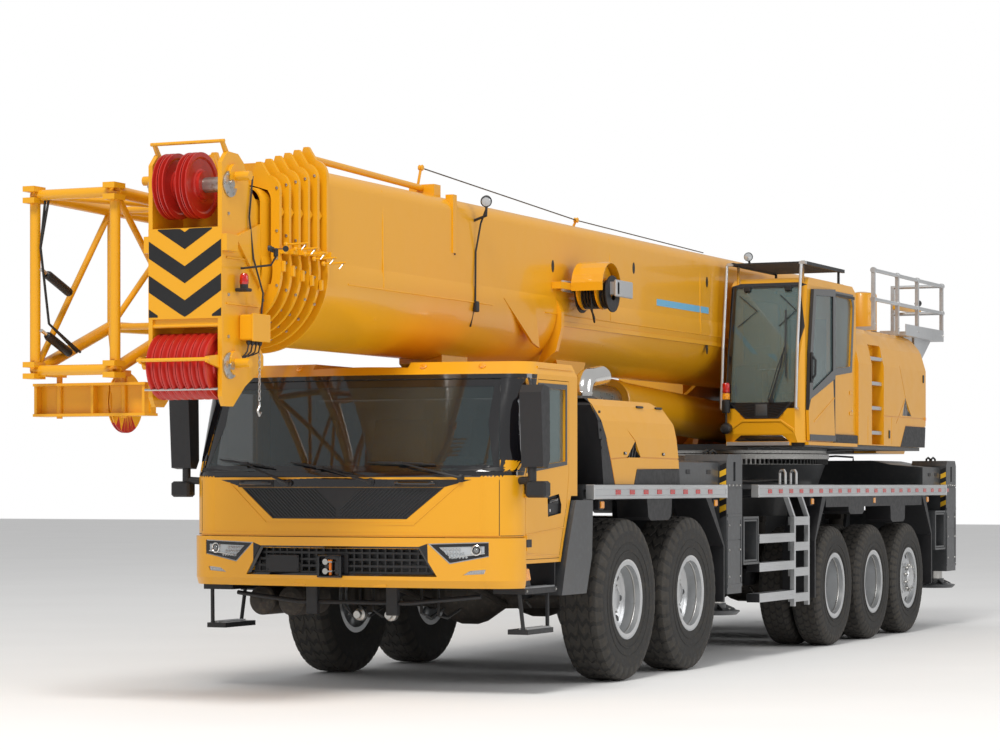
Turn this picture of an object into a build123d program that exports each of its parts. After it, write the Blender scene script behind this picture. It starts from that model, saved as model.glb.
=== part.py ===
"""Five-axle mobile crane: a truck carrier, a slewing superstructure and a seven-section boom.

Millimetres. +X points to the front, +Y to the left, +Z up. The origin lies on the ground under the
middle of the overall length and width. Each piece is its own node, written to parts/.
"""

import math
import os

from build123d import *

os.makedirs("parts", exist_ok=True)

# ---------------------------------------------------------------- driving dimensions
axle_1_x = 3165                       # first axle, from the origin
axle_spacings = (1520, 4250, 1370, 1350)
half_width = 1500                     # over the decks
tyre_face_y = half_width - 10         # outer face of the outer tyres
front_tyre_radius, front_tyre_width = 685, 385
rear_tyre_radius, rear_tyre_width = 613, 315
twin_gap = 30                         # between the two tyres of a twin wheel
rim_radius = 318
kingpin_y = 1000
running_gap = 0.5                     # between a turning piece and its seat
fit = 0.3                             # between pieces that are set into one another
side_gap = 6                          # between a sliding or swinging piece and its neighbour

frame_half, frame_low, frame_high = 450, 960, 1330
deck_high, deck_thick = 1660, 40
rail_depth = 120                      # side rail under the deck's edge

cab_rear_x = axle_1_x + 1040
cab_half, cab_sill, cab_roof = 1450, 1040, 2640
cab_wall = 50

slew_x = axle_1_x - 6900              # slewing axis
ring_radius, ring_low, ring_high = 1000, 1880, 2030
plate_y, plate_thick = 535, 45        # inner face of the two turntable cheeks

boom_z = 3330                         # axis of the boom
boom_pivot_x, boom_pivot_z = axle_1_x - 8900, 3330
boom_half_width, boom_flat = 510, 690   # half width, and the axis to the top flange
section_step = 30                     # each section is this much smaller all round
section_wall = 10
base_front_x = axle_1_x + 3740        # mouth of the base section
collar_pitch = 90                     # one collar to the next

cylinder_foot_x, cylinder_foot_z = axle_1_x - 6600, 2325
cylinder_eye_x, cylinder_eye_z = axle_1_x - 1550, 2545
barrel_radius, rod_radius = 218, 150

groove_depth, groove_half = 8, 5      # gaps between panels, as grooves

axle_xs = [axle_1_x]
for spacing in axle_spacings:
    axle_xs.append(axle_xs[-1] - spacing)


def save(builder, label):
    """Labels a finished piece and writes its STEP file."""
    builder.part.label = label
    export_step(builder.part, f"parts/{label}.step")


def save_together(label, *builders):
    """Writes the solids of several builders, set against one another, as one node's STEP file."""
    together = Compound([solid for builder in builders for solid in builder.part.solids()])
    together.label = label
    export_step(together, f"parts/{label}.step")


def block(x, y, z, mode=Mode.ADD):
    """A box between two values on each axis, in the open BuildPart."""
    with Locations(((x[0] + x[1]) / 2, (y[0] + y[1]) / 2, (z[0] + z[1]) / 2)):
        Box(abs(x[1] - x[0]), abs(y[1] - y[0]), abs(z[1] - z[0]), mode=mode)


def bar(start, end, radius, mode=Mode.ADD):
    """A round bar from one point to another, in the open BuildPart."""
    run = Vector(end) - Vector(start)
    with Locations(Plane(origin=start, z_dir=run)):
        Cylinder(radius, run.length, align=(Align.CENTER, Align.CENTER, Align.MIN), mode=mode)


def bars(runs):
    """Round bars, each (start, end, radius), fused in one step, in the open BuildPart."""
    pieces = []
    for start, end, radius in runs:
        run = Vector(end) - Vector(start)
        pieces.append(Solid.make_cylinder(radius, run.length, Plane(origin=start, z_dir=run)))
    add(pieces)


def prism(plane, points, length, mode=Mode.ADD):
    """A polygon on a plane, pushed along the plane's normal, in the open BuildPart."""
    with BuildSketch(plane) as shape:
        with BuildLine():
            Polyline(*points, close=True)
        make_face()
    extrude(shape.sketch, amount=length, mode=mode)


def outline(points, y, mode=Mode.ADD):
    """A polygon of (x, z) points between two y values, in the open BuildPart."""
    prism(Plane.XZ.offset(-max(y)), points, abs(y[1] - y[0]), mode)


def across(points, x, mode=Mode.ADD):
    """A polygon of (y, z) points between two x values, in the open BuildPart."""
    prism(Plane.YZ.offset(min(x)), points, abs(x[1] - x[0]), mode)


def both_sides(points):
    """Closes a right-hand half of (y, z) points, from the bottom up, with its mirror image."""
    return [(y, z) for y, z in points] + [(-y, z) for y, z in reversed(points)]


def turned(points, plane, mode=Mode.ADD):
    """A polygon of (radius, along) points turned round the plane's normal, in the open BuildPart."""
    with BuildPart(mode=Mode.PRIVATE) as piece:
        with BuildSketch(Plane.XZ) as shape:
            with BuildLine():
                Polyline(*points, close=True)
            make_face()
        revolve(shape.sketch, axis=Axis.Z)
    add(plane.location * piece.part, mode=mode)


def grooves(runs, origin_x, y):
    """Straight grooves between (x, z, x, z) points from an origin, cut between two y values."""
    for x0, z0, x1, z1 in runs:
        run = Vector(x1 - x0, 0, z1 - z0).normalized()
        dx, dz = -run.Z * groove_half, run.X * groove_half
        outline([(origin_x + x0 + dx, z0 + dz), (origin_x + x1 + dx, z1 + dz),
                 (origin_x + x1 - dx, z1 - dz), (origin_x + x0 - dx, z0 - dz)], y, mode=Mode.SUBTRACT)


def vent_panel(corners, origin_x, outer_y, blades):
    """A pocket in a side panel with slanted blades (x, low z, high z, lean), in the open BuildPart."""
    sign = 1 if outer_y > 0 else -1
    outline([(origin_x + x, z) for x, z in corners], (outer_y - sign * 60, outer_y + sign * 5),
            mode=Mode.SUBTRACT)
    for x, low, high, lean in blades:
        x += origin_x
        outline([(x, low), (x + 14, low), (x + 14 - lean, high), (x - lean, high)],
                (outer_y - sign * 62, outer_y - sign * 22))


# ---------------------------------------------------------------- wheels
disc_thick = 14
hub_radius, hub_inner_y, twin_inner_y = 165, 1120, 800
hand_holes, hand_hole_radius, hand_hole_ring = 8, 28, 238


def tyre_on_rim(radius, width, middle):
    """The cross-section of a tyre with its rim, as (radius, y), in the open sketch."""
    half = width / 2
    lip, inside = rim_radius + 22, rim_radius - 24
    shape = [
        # radius, distance from the tyre's middle
        (inside, half - 18), (lip, half - 18), (lip, half - 26), (lip + 6, half - 14),
        (radius * 0.66, half - 5), (radius * 0.82, half), (radius * 0.91, half - 8),
        (radius - 10, half - 34), (radius, half - 62),
    ]
    with BuildLine() as edge:
        Polyline(*[(r, middle + y) for r, y in shape], *[(r, middle - y) for r, y in reversed(shape)],
                 close=True)
    make_face(edge.edges())


def disc(rim_y, centre_y):
    """The wheel disc from its weld in the rim to its flat centre, as (radius, y), in the open sketch."""
    weld, thick = rim_radius - 22, disc_thick / 2
    cone = 26 if centre_y < rim_y else -26
    with BuildLine() as edge:
        Polyline(
            (weld, rim_y - thick * 2), (weld, rim_y + thick * 2), (268, centre_y + cone + thick * 2),
            (205, centre_y + thick), (60, centre_y + thick), (60, centre_y - thick),
            (212, centre_y - thick), (268, centre_y + cone - thick), close=True)
    make_face(edge.edges())


wheels = [
    # axle, tyre radius, tyre width, twin, steered, disc's middle from the outer tyre's middle, hub nose
    (1, front_tyre_radius, front_tyre_width, False, True, -20, 75),
    (2, front_tyre_radius, front_tyre_width, False, True, -20, 75),
    (3, rear_tyre_radius, rear_tyre_width, True, False, 0, 95),
    (4, rear_tyre_radius, rear_tyre_width, True, False, 0, 95),
    (5, rear_tyre_radius, rear_tyre_width, False, True, 112, 60),
]
for axle, radius, width, twin, steered, dish, nose in wheels:
    outer_y = tyre_face_y - width / 2
    inner_y = outer_y - width - twin_gap
    hub_y = twin_inner_y if twin else hub_inner_y
    seat_y = (outer_y + inner_y) / 2 if twin else outer_y + dish
    with BuildPart() as wheel:
        with BuildSketch(Plane.XY):
            tyre_on_rim(radius, width, outer_y)
            if twin:
                tyre_on_rim(radius, width, inner_y)
                disc(outer_y - width / 2 + 60, seat_y + disc_thick / 2)
                disc(inner_y + width / 2 - 60, seat_y - disc_thick / 2)
            else:
                disc(outer_y + (dish + 45 if dish < 0 else dish - 45), seat_y)
            with BuildLine():
                Polyline((0, hub_y), (hub_radius, hub_y), (hub_radius, seat_y + 16), (118, seat_y + 22),
                         (118, seat_y + nose - 12), (104, seat_y + nose), (0, seat_y + nose), close=True)
            make_face()
        revolve(axis=Axis.Y)
        # hand holes through the disc
        with Locations(Plane(origin=(0, seat_y - 120, 0), z_dir=(0, 1, 0))):
            with PolarLocations(hand_hole_ring, hand_holes):
                Cylinder(hand_hole_radius, 240, align=(Align.CENTER, Align.CENTER, Align.MIN),
                         mode=Mode.SUBTRACT)
    for side, placed in (
        ("left", Pos(axle_xs[axle - 1], 0, radius) * wheel.part),
        ("right", (Pos(axle_xs[axle - 1], 0, radius) * wheel.part).mirror(Plane.XZ)),
    ):
        placed.label = f"wheel_{axle}_{side}"
        export_step(placed, f"parts/wheel_{axle}_{side}.step")

# ---------------------------------------------------------------- axles and knuckles
kingpin_radius = 30
with BuildPart() as axles:
    for axle, radius, width, twin, steered, dish, nose in wheels:
        x, z = axle_xs[axle - 1], radius
        end = kingpin_y - 90 if steered else twin_inner_y - running_gap
        flange = 95 if steered else 190
        turned([(0, -end), (flange, -end), (flange, -end + 40), (85, -end + 60), (100, -330), (215, -150),
                (240, -70), (240, 70), (215, 150), (100, 330), (85, end - 60), (flange, end - 40),
                (flange, end), (0, end)], Plane(origin=(x, 0, z), z_dir=(0, 1, 0)))
        for sign in (1, -1):
            if steered:
                block((x - 45, x + 45), (sign * end, sign * kingpin_y), (z - 90, z + 90))
                with Locations((x, sign * kingpin_y, z)):
                    Cylinder(60, 180)
                    Cylinder(kingpin_radius + running_gap, 200, mode=Mode.SUBTRACT)
            # hydropneumatic strut up to the frame
            bar((x - 190, sign * 560, z - 40), (x - 190, sign * 560, frame_high - 300), 70)
            bar((x - 190, sign * 560, frame_high - 320), (x - 190, sign * 560, frame_high - 60), 85)
            block((x - 260, x - 60), (sign * 500, sign * 620), (z - 80, z + 30))
            block((x - 250, x - 130), (sign * frame_half, sign * 640), (frame_high - 60, frame_high))
save(axles, "axle_beams")

for axle, radius, width, twin, steered, dish, nose in wheels:
    if not steered:
        continue
    x, z = axle_xs[axle - 1], radius
    for side, sign in (("left", 1), ("right", -1)):
        with BuildPart() as knuckle:
            for low, high in ((95, 155), (-155, -95)):
                outline([(x - 60, z + low), (x + 60, z + low), (x + 60, z + high), (x - 60, z + high)],
                        (sign * (kingpin_y - 60), sign * (kingpin_y + 75)))
            bar((x, sign * kingpin_y, z - 155), (x, sign * kingpin_y, z + 155), kingpin_radius)
            turned([(0, kingpin_y + 70), (150, kingpin_y + 70), (190, kingpin_y + 90),
                    (190, hub_inner_y - running_gap), (0, hub_inner_y - running_gap)],
                   Plane(origin=(x, 0, z), z_dir=(0, sign, 0)))
            # steering arm
            outline([(x - 260, z - 155), (x - 40, z - 155), (x - 40, z - 110), (x - 230, z - 110),
                     (x - 260, z - 130)], (sign * (kingpin_y + 20), sign * (kingpin_y + 75)))
        save(knuckle, f"knuckle_{axle}_{side}")

# ---------------------------------------------------------------- outriggers
beam_half, beam_low, beam_high = 190, 930, 1330
tunnel_wall = 22
jack_half, jack_low, jack_high = 215, 640, 1945
jack_inner_y, jack_outer_y = 1060, tyre_face_y - 5
outriggers = [
    # name, jack's x, side
    ("front_left", axle_1_x - 2660, 1),
    ("front_right", axle_1_x - 3130, -1),
    ("rear_left", axle_1_x - 10260, 1),
    ("rear_right", axle_1_x - 9790, -1),
]
leg_radius, pad_radius = 100, 250
for name, x, sign in outriggers:
    middle = sign * (jack_inner_y + jack_outer_y) / 2
    with BuildPart() as beam:
        block((x - beam_half, x + beam_half), (sign * jack_inner_y, -sign * (tyre_face_y - 10)),
              (beam_low, beam_high))
        block((x - beam_half + 18, x + beam_half - 18), (sign * (jack_inner_y - 40), -sign * tyre_face_y),
              (beam_low + 18, beam_high - 18), mode=Mode.SUBTRACT)
        # jack housing: narrower towards the foot, with a sloping top and a hand slot
        outline([(x - jack_half + 20, jack_low), (x + jack_half - 20, jack_low), (x + jack_half, beam_high),
                 (x + jack_half, jack_high - 60), (x + jack_half - 40, jack_high),
                 (x - jack_half + 40, jack_high),
                 (x - jack_half, jack_high - 60), (x - jack_half, beam_high)],
                (sign * jack_inner_y, sign * jack_outer_y))
        block((x - 30, x + 30), (sign * (jack_outer_y - 60), sign * (jack_outer_y + 5)),
              (jack_high - 250, jack_high - 70), mode=Mode.SUBTRACT)
        for z in (jack_high - 320, jack_low + 500):
            block((x - jack_half - 5, x + jack_half + 5),
                  (sign * (jack_outer_y - 6), sign * (jack_outer_y + 5)),
                  (z, z + 8), mode=Mode.SUBTRACT)
        with Locations((x, middle, jack_low + 450)):
            Cylinder(leg_radius, 900, mode=Mode.SUBTRACT)
    save(beam, f"outrigger_{name}")
    with BuildPart() as jack:
        turned([(0, 0), (pad_radius - 30, 0), (pad_radius, 28), (pad_radius, 40), (120, 62), (120, 110),
                (leg_radius - running_gap, 110), (leg_radius - running_gap, jack_low + 440),
                (0, jack_low + 440)],
               Plane(origin=(x, middle, 440), z_dir=(0, 0, 1)))
    save(jack, f"jack_{name}")

# ---------------------------------------------------------------- chassis
hollow_x = beam_half + side_gap
rest_x, rest_high = axle_1_x + 660, 2590
jaw_low, jaw_high, jaw_reach, jaw_pin_radius = 760, 960, 11180, 25
with BuildPart() as chassis:
    # box frame: swept up behind the last axle, dropped under the cab
    outline([(axle_1_x - 11000, 1010), (axle_1_x - 9900, frame_low), (axle_1_x + 700, frame_low),
             (axle_1_x + 960, 900), (axle_1_x + 2250, 900), (axle_1_x + 2250, cab_sill),
             (axle_1_x + 1000, cab_sill),
             (axle_1_x + 900, frame_high), (axle_1_x - 11000, frame_high)], (-frame_half, frame_half))
    for name, x, sign in outriggers:
        block((x - hollow_x - tunnel_wall, x + hollow_x + tunnel_wall),
              (sign * (jack_inner_y - side_gap), -sign * (tyre_face_y - 5)),
              (beam_low - side_gap - tunnel_wall, beam_high + side_gap + tunnel_wall))
    for name, x, sign in outriggers:
        block((x - hollow_x, x + hollow_x), (-half_width, half_width),
              (beam_low - side_gap, beam_high + side_gap), mode=Mode.SUBTRACT)
    # wear pads at the tunnels' mouths
    for name, x, sign in outriggers:
        block((x - 150, x + 150), (sign * (jack_inner_y - 150), sign * (jack_inner_y - side_gap)),
              (beam_low - side_gap, beam_low - running_gap))
    # pedestal under the slewing ring
    with Locations((slew_x, 0, frame_high)):
        Cone(760, 960, ring_low - frame_high, align=(Align.CENTER, Align.CENTER, Align.MIN))
    # rear cross member with the towing jaw
    block((axle_1_x - 11080, axle_1_x - 10980), (-1250, 1250), (700, 1150))
    outline([(axle_1_x - 11080, jaw_low - 60), (axle_1_x - 11080, jaw_high + 60),
             (axle_1_x - 11140, jaw_high),
             (axle_1_x - 11250, jaw_high), (axle_1_x - 11250, jaw_low), (axle_1_x - 11140, jaw_low)],
             (-110, 110))
    with Locations((axle_1_x - jaw_reach, 0, (jaw_low + jaw_high) / 2)):
        Cylinder(jaw_pin_radius, jaw_high - jaw_low, mode=Mode.SUBTRACT)
    # boom rest behind the cab, bolted on to the frame: two splayed legs under a cradle
    for sign in (1, -1):
        across([(sign * 440, frame_high + fit), (sign * 300, frame_high + fit), (sign * 150, 2500),
                (sign * 290, 2500)], (rest_x - 90, rest_x + 90))
    block((rest_x - 90, rest_x + 90), (-300, 300), (1900, 1980))
    across([(-430, rest_high), (-380, 2490), (380, 2490), (430, rest_high)], (rest_x - 160, rest_x + 160))
save(chassis, "chassis")

with BuildPart() as ring:
    turned([(760, 0), (ring_radius - 60, 0), (ring_radius - 60, 60), (ring_radius, 60), (ring_radius, 110),
            (ring_radius - 30, 120), (ring_radius - 30, ring_high - ring_low), (760, ring_high - ring_low)],
           Plane(origin=(slew_x, 0, ring_low), z_dir=(0, 0, 1)))
save(ring, "slewing_ring")

# ---------------------------------------------------------------- decks, outrigger boxes
decks_by_side = {
    1: ((axle_1_x - 2425, axle_1_x + 800), (axle_1_x - 10020, axle_1_x - 3300)),
    -1: ((axle_1_x - 2890, axle_1_x + 800), (axle_1_x - 9555, axle_1_x - 3660)),
}
brackets = (-2200, -1250, 600, -3760, -4700, -8000, -9200)   # from the first axle
box_high, box_slope_y, box_edge_high = 1945, 785, 1865
box_inner_y, box_outer_y = jack_inner_y - 20, half_width - 90
boxes = [
    # rear and front x, then the rear and front x of the left wing and of the right wing
    (-3420, -1385, -2425, -1385, -2890, -1385),
    (-10560, -9300, -10020, -9300, -10560, -10030),
]
with BuildPart() as decks:
    for sign, ranges in decks_by_side.items():
        for x in ranges:
            block(x, (sign * frame_half, sign * (half_width - 60)), (deck_high - deck_thick, deck_high))
            # side rail: a channel with two ribs
            across([(sign * (half_width - 70), deck_high), (sign * (half_width - 8), deck_high),
                    (sign * half_width, deck_high - 12), (sign * half_width, deck_high - 34),
                    (sign * (half_width - 10), deck_high - 40), (sign * (half_width - 10), deck_high - 88),
                    (sign * half_width, deck_high - 94), (sign * half_width, deck_high - rail_depth + 6),
                    (sign * (half_width - 8), deck_high - rail_depth),
                    (sign * (half_width - 70), deck_high - rail_depth)],
                   x)
        for place in brackets:
            x = axle_1_x + place
            across([(sign * frame_half, 1130), (sign * 520, 1130), (sign * 560, 1500),
                    (sign * 1400, deck_high - 90),
                    (sign * 1400, deck_high - deck_thick), (sign * frame_half, deck_high - deck_thick)],
                   (x - 40, x + 40))
    for rear, front, left_rear, left_front, right_rear, right_front in boxes:
        body = ((box_inner_y, deck_high - deck_thick), (box_inner_y, box_edge_high + 30),
                (box_slope_y, box_high))
        across(both_sides(body), (axle_1_x + rear, axle_1_x + front))
        for sign, ends in ((1, (left_rear, left_front)), (-1, (right_rear, right_front))):
            across([(sign * (box_inner_y - 5), deck_high - 5), (sign * box_outer_y, deck_high - 5),
                    (sign * box_outer_y, box_edge_high), (sign * (box_inner_y - 5), box_edge_high + 30)],
                   (axle_1_x + ends[0], axle_1_x + ends[1]))
    with Locations((slew_x, 0, deck_high)):
        Cylinder(ring_radius + 10, 200, mode=Mode.SUBTRACT)
save(decks, "decks")

# ---------------------------------------------------------------- ladders and steps
ladder_y = half_width - 10
ladder_xs, ladder_lean = (axle_1_x - 4430, axle_1_x - 4870), 210
step_front_x = axle_1_x - 3360
with BuildPart() as ladders:
    for sign in (1, -1):
        y = (sign * (ladder_y - 45), sign * ladder_y)
        for x in ladder_xs:
            outline([(x - 22, 450), (x + 22, 450), (x + 22, 1340),
                     (x + 22 + ladder_lean, deck_high - rail_depth),
                     (x - 22 + ladder_lean, deck_high - rail_depth), (x - 22, 1340)], y)
        for z in (535, 790, 1045, 1300):
            block((ladder_xs[1] + 22, ladder_xs[0] - 22), (sign * (ladder_y - 80), sign * ladder_y),
                  (z - 42, z + 42))
        for z in (570, 865, 1140):
            block((ladder_xs[0] + 15, step_front_x), (sign * (ladder_y - 130), sign * ladder_y),
                  (z - 42, z + 42))
        bar((step_front_x - 150, sign * frame_half, 1140),
            (step_front_x - 150, sign * (ladder_y - 125), 1140), 24)
    # steps under the cab doors
    for sign in (1, -1):
        for x in (axle_1_x + 1480, axle_1_x + 2090):
            outline([(x - 10, 800), (x + 10, 800), (x + 10, cab_sill), (x - 10, cab_sill)],
                    (sign * 1180, sign * (cab_half - 10)))
        block((axle_1_x + 1470, axle_1_x + 2100), (sign * 1180, sign * (cab_half + 5)), (800, 845))
        for x in (axle_1_x + 1560, axle_1_x + 2030):
            bar((x, sign * (cab_half - 40), 505),
                (x + 40 * (1 if x > axle_1_x + 1800 else -1), sign * (cab_half - 60), 810), 16)
        block((axle_1_x + 1545, axle_1_x + 2045), (sign * (cab_half - 170), sign * (cab_half + 5)),
              (480, 520))
save(ladders, "ladders")

# ---------------------------------------------------------------- mudguards
guard_wall = 14
fender = [
    # x from its axle, z: the front edge down, then the rear edge up
    (1150, 1535), (1290, 1210), (1370, 990), (1440, 770), (930, 770), (810, 1080), (790, 1535),
]
fender_inside = [(1120, 1515), (1262, 1195), (1345, 975), (1405, 750), (700, 750), (700, 1515)]
flaps = (                             # hangers between two wheels: middle x from the first axle, top z
    (-765, deck_high - rail_depth), (-6545, deck_high - rail_depth), (-8090, deck_high - rail_depth),
)
struts = [
    # x of the slanted top, x of the upright, thickness, low z
    (-1990, -2405, 36, 570), (-5420, -5120, 36, 510), (-9120, -9450, 36, 520),
]
with BuildPart() as mudguards:
    for sign in (1, -1):
        outer = sign * (half_width - 15)
        outline([(axle_1_x + x, z) for x, z in fender], (sign * 1050, outer))
        outline([(axle_1_x + x, z) for x, z in fender_inside], (sign * 1040, outer - sign * guard_wall),
                mode=Mode.SUBTRACT)
        block((axle_1_x + 660, axle_1_x + 800), (sign * 1100, sign * 1400), (1440, deck_high - deck_thick))
        for x, top in flaps:
            x += axle_1_x
            low = top - (190 if x > slew_x else 290)
            outline([(x - 300, top), (x - 270, low + 30), (x - 210, low), (x + 210, low), (x + 270, low + 30),
                     (x + 300, top)], (sign * 1180, sign * (half_width - 30)))
            outline([(x - 230, top + 5), (x - 200, low + 40), (x + 200, low + 40), (x + 230, top + 5)],
                    (sign * 1160, sign * (half_width - 50)), mode=Mode.SUBTRACT)
        for slant, upright, thick, low in struts:
            slant, upright = axle_1_x + slant, axle_1_x + upright
            y = (sign * 1130, sign * (half_width - 25))
            outline([(slant - 70, deck_high - rail_depth), (slant + 70, deck_high - rail_depth),
                     (upright + thick / 2, 1090), (upright + thick / 2, low), (upright - thick / 2, low),
                     (upright - thick / 2, 1090)], y)
        # flange that joins the rear struts along the deck
        block((axle_1_x - 9050, axle_1_x - 5490), (sign * (half_width - 60), sign * (half_width - 30)),
              (deck_high - rail_depth - 110, deck_high - rail_depth))
save(mudguards, "mudguards")

# ---------------------------------------------------------------- power unit, tanks
hood_side = [
    # x from the first axle, z
    (-1370, deck_high), (430, deck_high), (540, 2330), (500, 2385), (-900, 2385), (-1120, 2320),
    (-1250, 2180), (-1330, 1900),
]
hood_half, hood_wall = 1430, 30
hood_edge = ((1300, 2400), (1360, 2330), (1415, 2200), (1432, 2050), (1500, 2050), (1500, 2400))
vent = ((-290, 2040), (-105, 1895), (-420, 1895))
hood_grooves = [
    # from x, z to x, z, all from the first axle
    (560, 2400, 270, 1880), (270, 1880, 160, 1640), (30, 2400, -120, 2130), (-120, 2130, -300, 2030),
    (-130, 1897, 270, 1880), (-1400, 1890, -390, 1897), (-330, 1800, -1400, 1800), (-330, 1800, -250, 1640),
]
exhaust_x, exhaust_y, exhaust_radius = axle_1_x + 215, 1150, 82
exhaust_rise, exhaust_bend, exhaust_reach = 2430, 150, 380   # its top stays under the slewing boom
with BuildPart() as hood:
    outline([(axle_1_x + x, z) for x, z in hood_side], (-hood_half, hood_half))
    for sign in (1, -1):
        across([(sign * y, z) for y, z in hood_edge], (axle_1_x - 1400, axle_1_x + 600), mode=Mode.SUBTRACT)
    outline([(axle_1_x - 1370 + hood_wall, deck_high - 5), (axle_1_x + 430 - hood_wall, deck_high - 5),
             (axle_1_x + 490, 2330), (axle_1_x - 900, 2350), (axle_1_x - 1220, 2160)],
            (-1290, 1290), mode=Mode.SUBTRACT)
    # panel gaps and the vents of the side panels
    for sign in (1, -1):
        y = (sign * (hood_half - groove_depth), sign * (hood_half + 5))
        grooves(hood_grooves, axle_1_x, y)
        vent_panel(vent, axle_1_x, sign * hood_half, [(-150 - 62 * i, 1895, 2050, 60) for i in range(4)])
    # exhaust stack: an upright, a bend and a slanted end
    with BuildLine(Plane.XZ.offset(-exhaust_y)) as bend:
        rise = Line((exhaust_x, 2375), (exhaust_x, exhaust_rise))
        elbow = JernArc(start=rise @ 1, tangent=rise % 1, radius=exhaust_bend, arc_size=84)
        PolarLine(elbow @ 1, exhaust_reach, direction=elbow % 1)
    with BuildSketch(Plane(origin=(exhaust_x, exhaust_y, 2375))) as pipe:
        Circle(exhaust_radius)
    sweep(pipe.sketch, path=bend.line)
    end = exhaust_x - exhaust_bend - exhaust_reach
    outline([(end - 170, exhaust_rise + 300), (end + 170, exhaust_rise + 300), (end + 10, exhaust_rise + 40),
             (end - 170, exhaust_rise + 40)],
            (exhaust_y - 120, exhaust_y + 120), mode=Mode.SUBTRACT)
save(hood, "engine_hood")

with BuildPart() as engine:
    block((axle_1_x - 1200, axle_1_x + 220), (-400, 400), (frame_high, 2040))
save(engine, "engine_block")


def tank(x0, x1, y, z, radius):
    """A lying tank with domed ends, in the open BuildPart."""
    dome = radius * 0.3
    turned([(0, 0), (radius * 0.6, dome * 0.2), (radius * 0.9, dome * 0.55), (radius, dome),
            (radius, x1 - x0 - dome),
            (radius * 0.9, x1 - x0 - dome * 0.55), (radius * 0.6, x1 - x0 - dome * 0.2), (0, x1 - x0)],
           Plane(origin=(x0, y, z), z_dir=(1, 0, 0)))


with BuildPart() as tanks:
    for y in (-660, -930):
        tank(axle_1_x + 1550, axle_1_x + 2080, y, 715, 122)
    block((axle_1_x + 1600, axle_1_x + 2000), (-1060, -frame_half), (830, 880))
    block((axle_1_x + 1600, axle_1_x + 2000), (-frame_half - 60, -frame_half), (830, 1000))
    tank(axle_1_x - 4900, axle_1_x - 3700, -900, 1000, 330)
    block((axle_1_x - 4300, axle_1_x - 4200), (-900, -frame_half), (960, 1040))
save(tanks, "tanks")

# ---------------------------------------------------------------- exhaust silencer beside the frame
silencer_x, silencer_y, silencer_z = axle_1_x - 800, -620, 1200
with BuildPart() as silencer:
    turned([(0, 0), (100, 0), (130, 40), (130, 560), (100, 600), (0, 600)],
           Plane(origin=(silencer_x - 300, silencer_y, silencer_z), z_dir=(1, 0, 0)))
    block((silencer_x - 40, silencer_x + 40), (silencer_y, -frame_half), (silencer_z - 40, silencer_z + 40))
    bar((silencer_x + 280, silencer_y, silencer_z), (silencer_x + 420, silencer_y, silencer_z), 55)
save(silencer, "exhaust")

# ---------------------------------------------------------------- carrier cab
cab_rows = [
    # z, front x at the middle, front x at the corner, where the side ends, half width, all from the first axle
    (cab_sill, 2500, 2370, 2110, cab_half),
    (1720, 2500, 2370, 2110, cab_half),
    (2540, 2180, 2060, 1850, cab_half),
    (cab_roof, 2060, 1950, 1760, cab_half - 50),
]
inner_rows = [
    (cab_sill + cab_wall, 2360, 2240, 1980, cab_half - cab_wall),
    (1300, 2380, 2260, 2010, cab_half - cab_wall),
    (1720, 2440, 2310, 2080, cab_half - cab_wall),
    (2520, 2125, 2005, 1830, cab_half - cab_wall),
]


def plan_face(front, corner_front, side_end, half, rear, mode=Mode.ADD):
    """The cab's plan in the open sketch: straight sides, round corners and a bowed front."""
    round_y = half - (corner_front - side_end)
    bend_x = side_end + (corner_front - side_end) * 0.707
    bend_y = round_y + (corner_front - side_end) * 0.707
    with BuildLine() as edge:
        Line((rear, -half), (side_end, -half))
        ThreePointArc((side_end, -half), (bend_x, -bend_y), (corner_front, -round_y))
        ThreePointArc((corner_front, -round_y), (front, 0), (corner_front, round_y))
        ThreePointArc((corner_front, round_y), (bend_x, bend_y), (side_end, half))
        Line((side_end, half), (rear, half))
        Line((rear, half), (rear, -half))
    make_face(edge.edges(), mode=mode)


def cab_form(rows, rear, grow=0, mode=Mode.ADD):
    """A ruled loft through rows of plans, each grown outwards, in the open BuildPart."""
    plans = []
    for z, front, corner_front, side_end, half in rows:
        with BuildSketch(Plane.XY.offset(z)) as plan:
            plan_face(axle_1_x + front + grow, axle_1_x + corner_front + grow, axle_1_x + side_end,
                      half + grow, rear)
        plans.append(plan.sketch)
    loft(plans, ruled=True, mode=mode)


def cab_skin(outer, inner):
    """What lies between the cab's form grown by one amount and by another, in the open BuildPart."""
    cab_form(cab_rows, cab_rear_x, outer)
    cab_form(cab_rows, cab_rear_x - 10, inner, mode=Mode.SUBTRACT)


door_shape = [
    # x, z from the first axle: the rear edge follows the wheel arch
    (1420, cab_sill + 30), (2085, cab_sill + 30), (2085, 1730), (1835, 2500), (1215, 2500), (1215, 1760),
    (1260, 1500),
]
pane_shape = [(1290, 1850), (1990, 1800), (1800, 2430), (1290, 2430)]
arch = [(1000, 1000), (1400, 1000), (1320, 1215), (1170, 1570), (1000, 1570)]
arch_wall = [(1040, 1040), (1440, 1040), (1360, 1230), (1210, 1620), (1040, 1620)]
door_hinge_x, hinge_zs = axle_1_x + 2093, (1200, 1620)
screen = [(-1330, 1800), (-1235, 2500), (1235, 2500), (1330, 1800), (900, 1762), (-900, 1762)]
cowl = [(-910, 1640), (-600, 1390), (600, 1390), (910, 1640)]
bumper_low, bumper_high, bumper_rear = 850, 1245, 2112
lamp_shape = [(1270, 1100), (1270, 1215), (780, 1200), (955, 1040)]
fog_shape = [(1060, 955), (1230, 965), (1245, 1000), (1120, 990)]
grille_shape = [(-855, 940), (855, 940), (710, 1175), (-710, 1175)]


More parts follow.
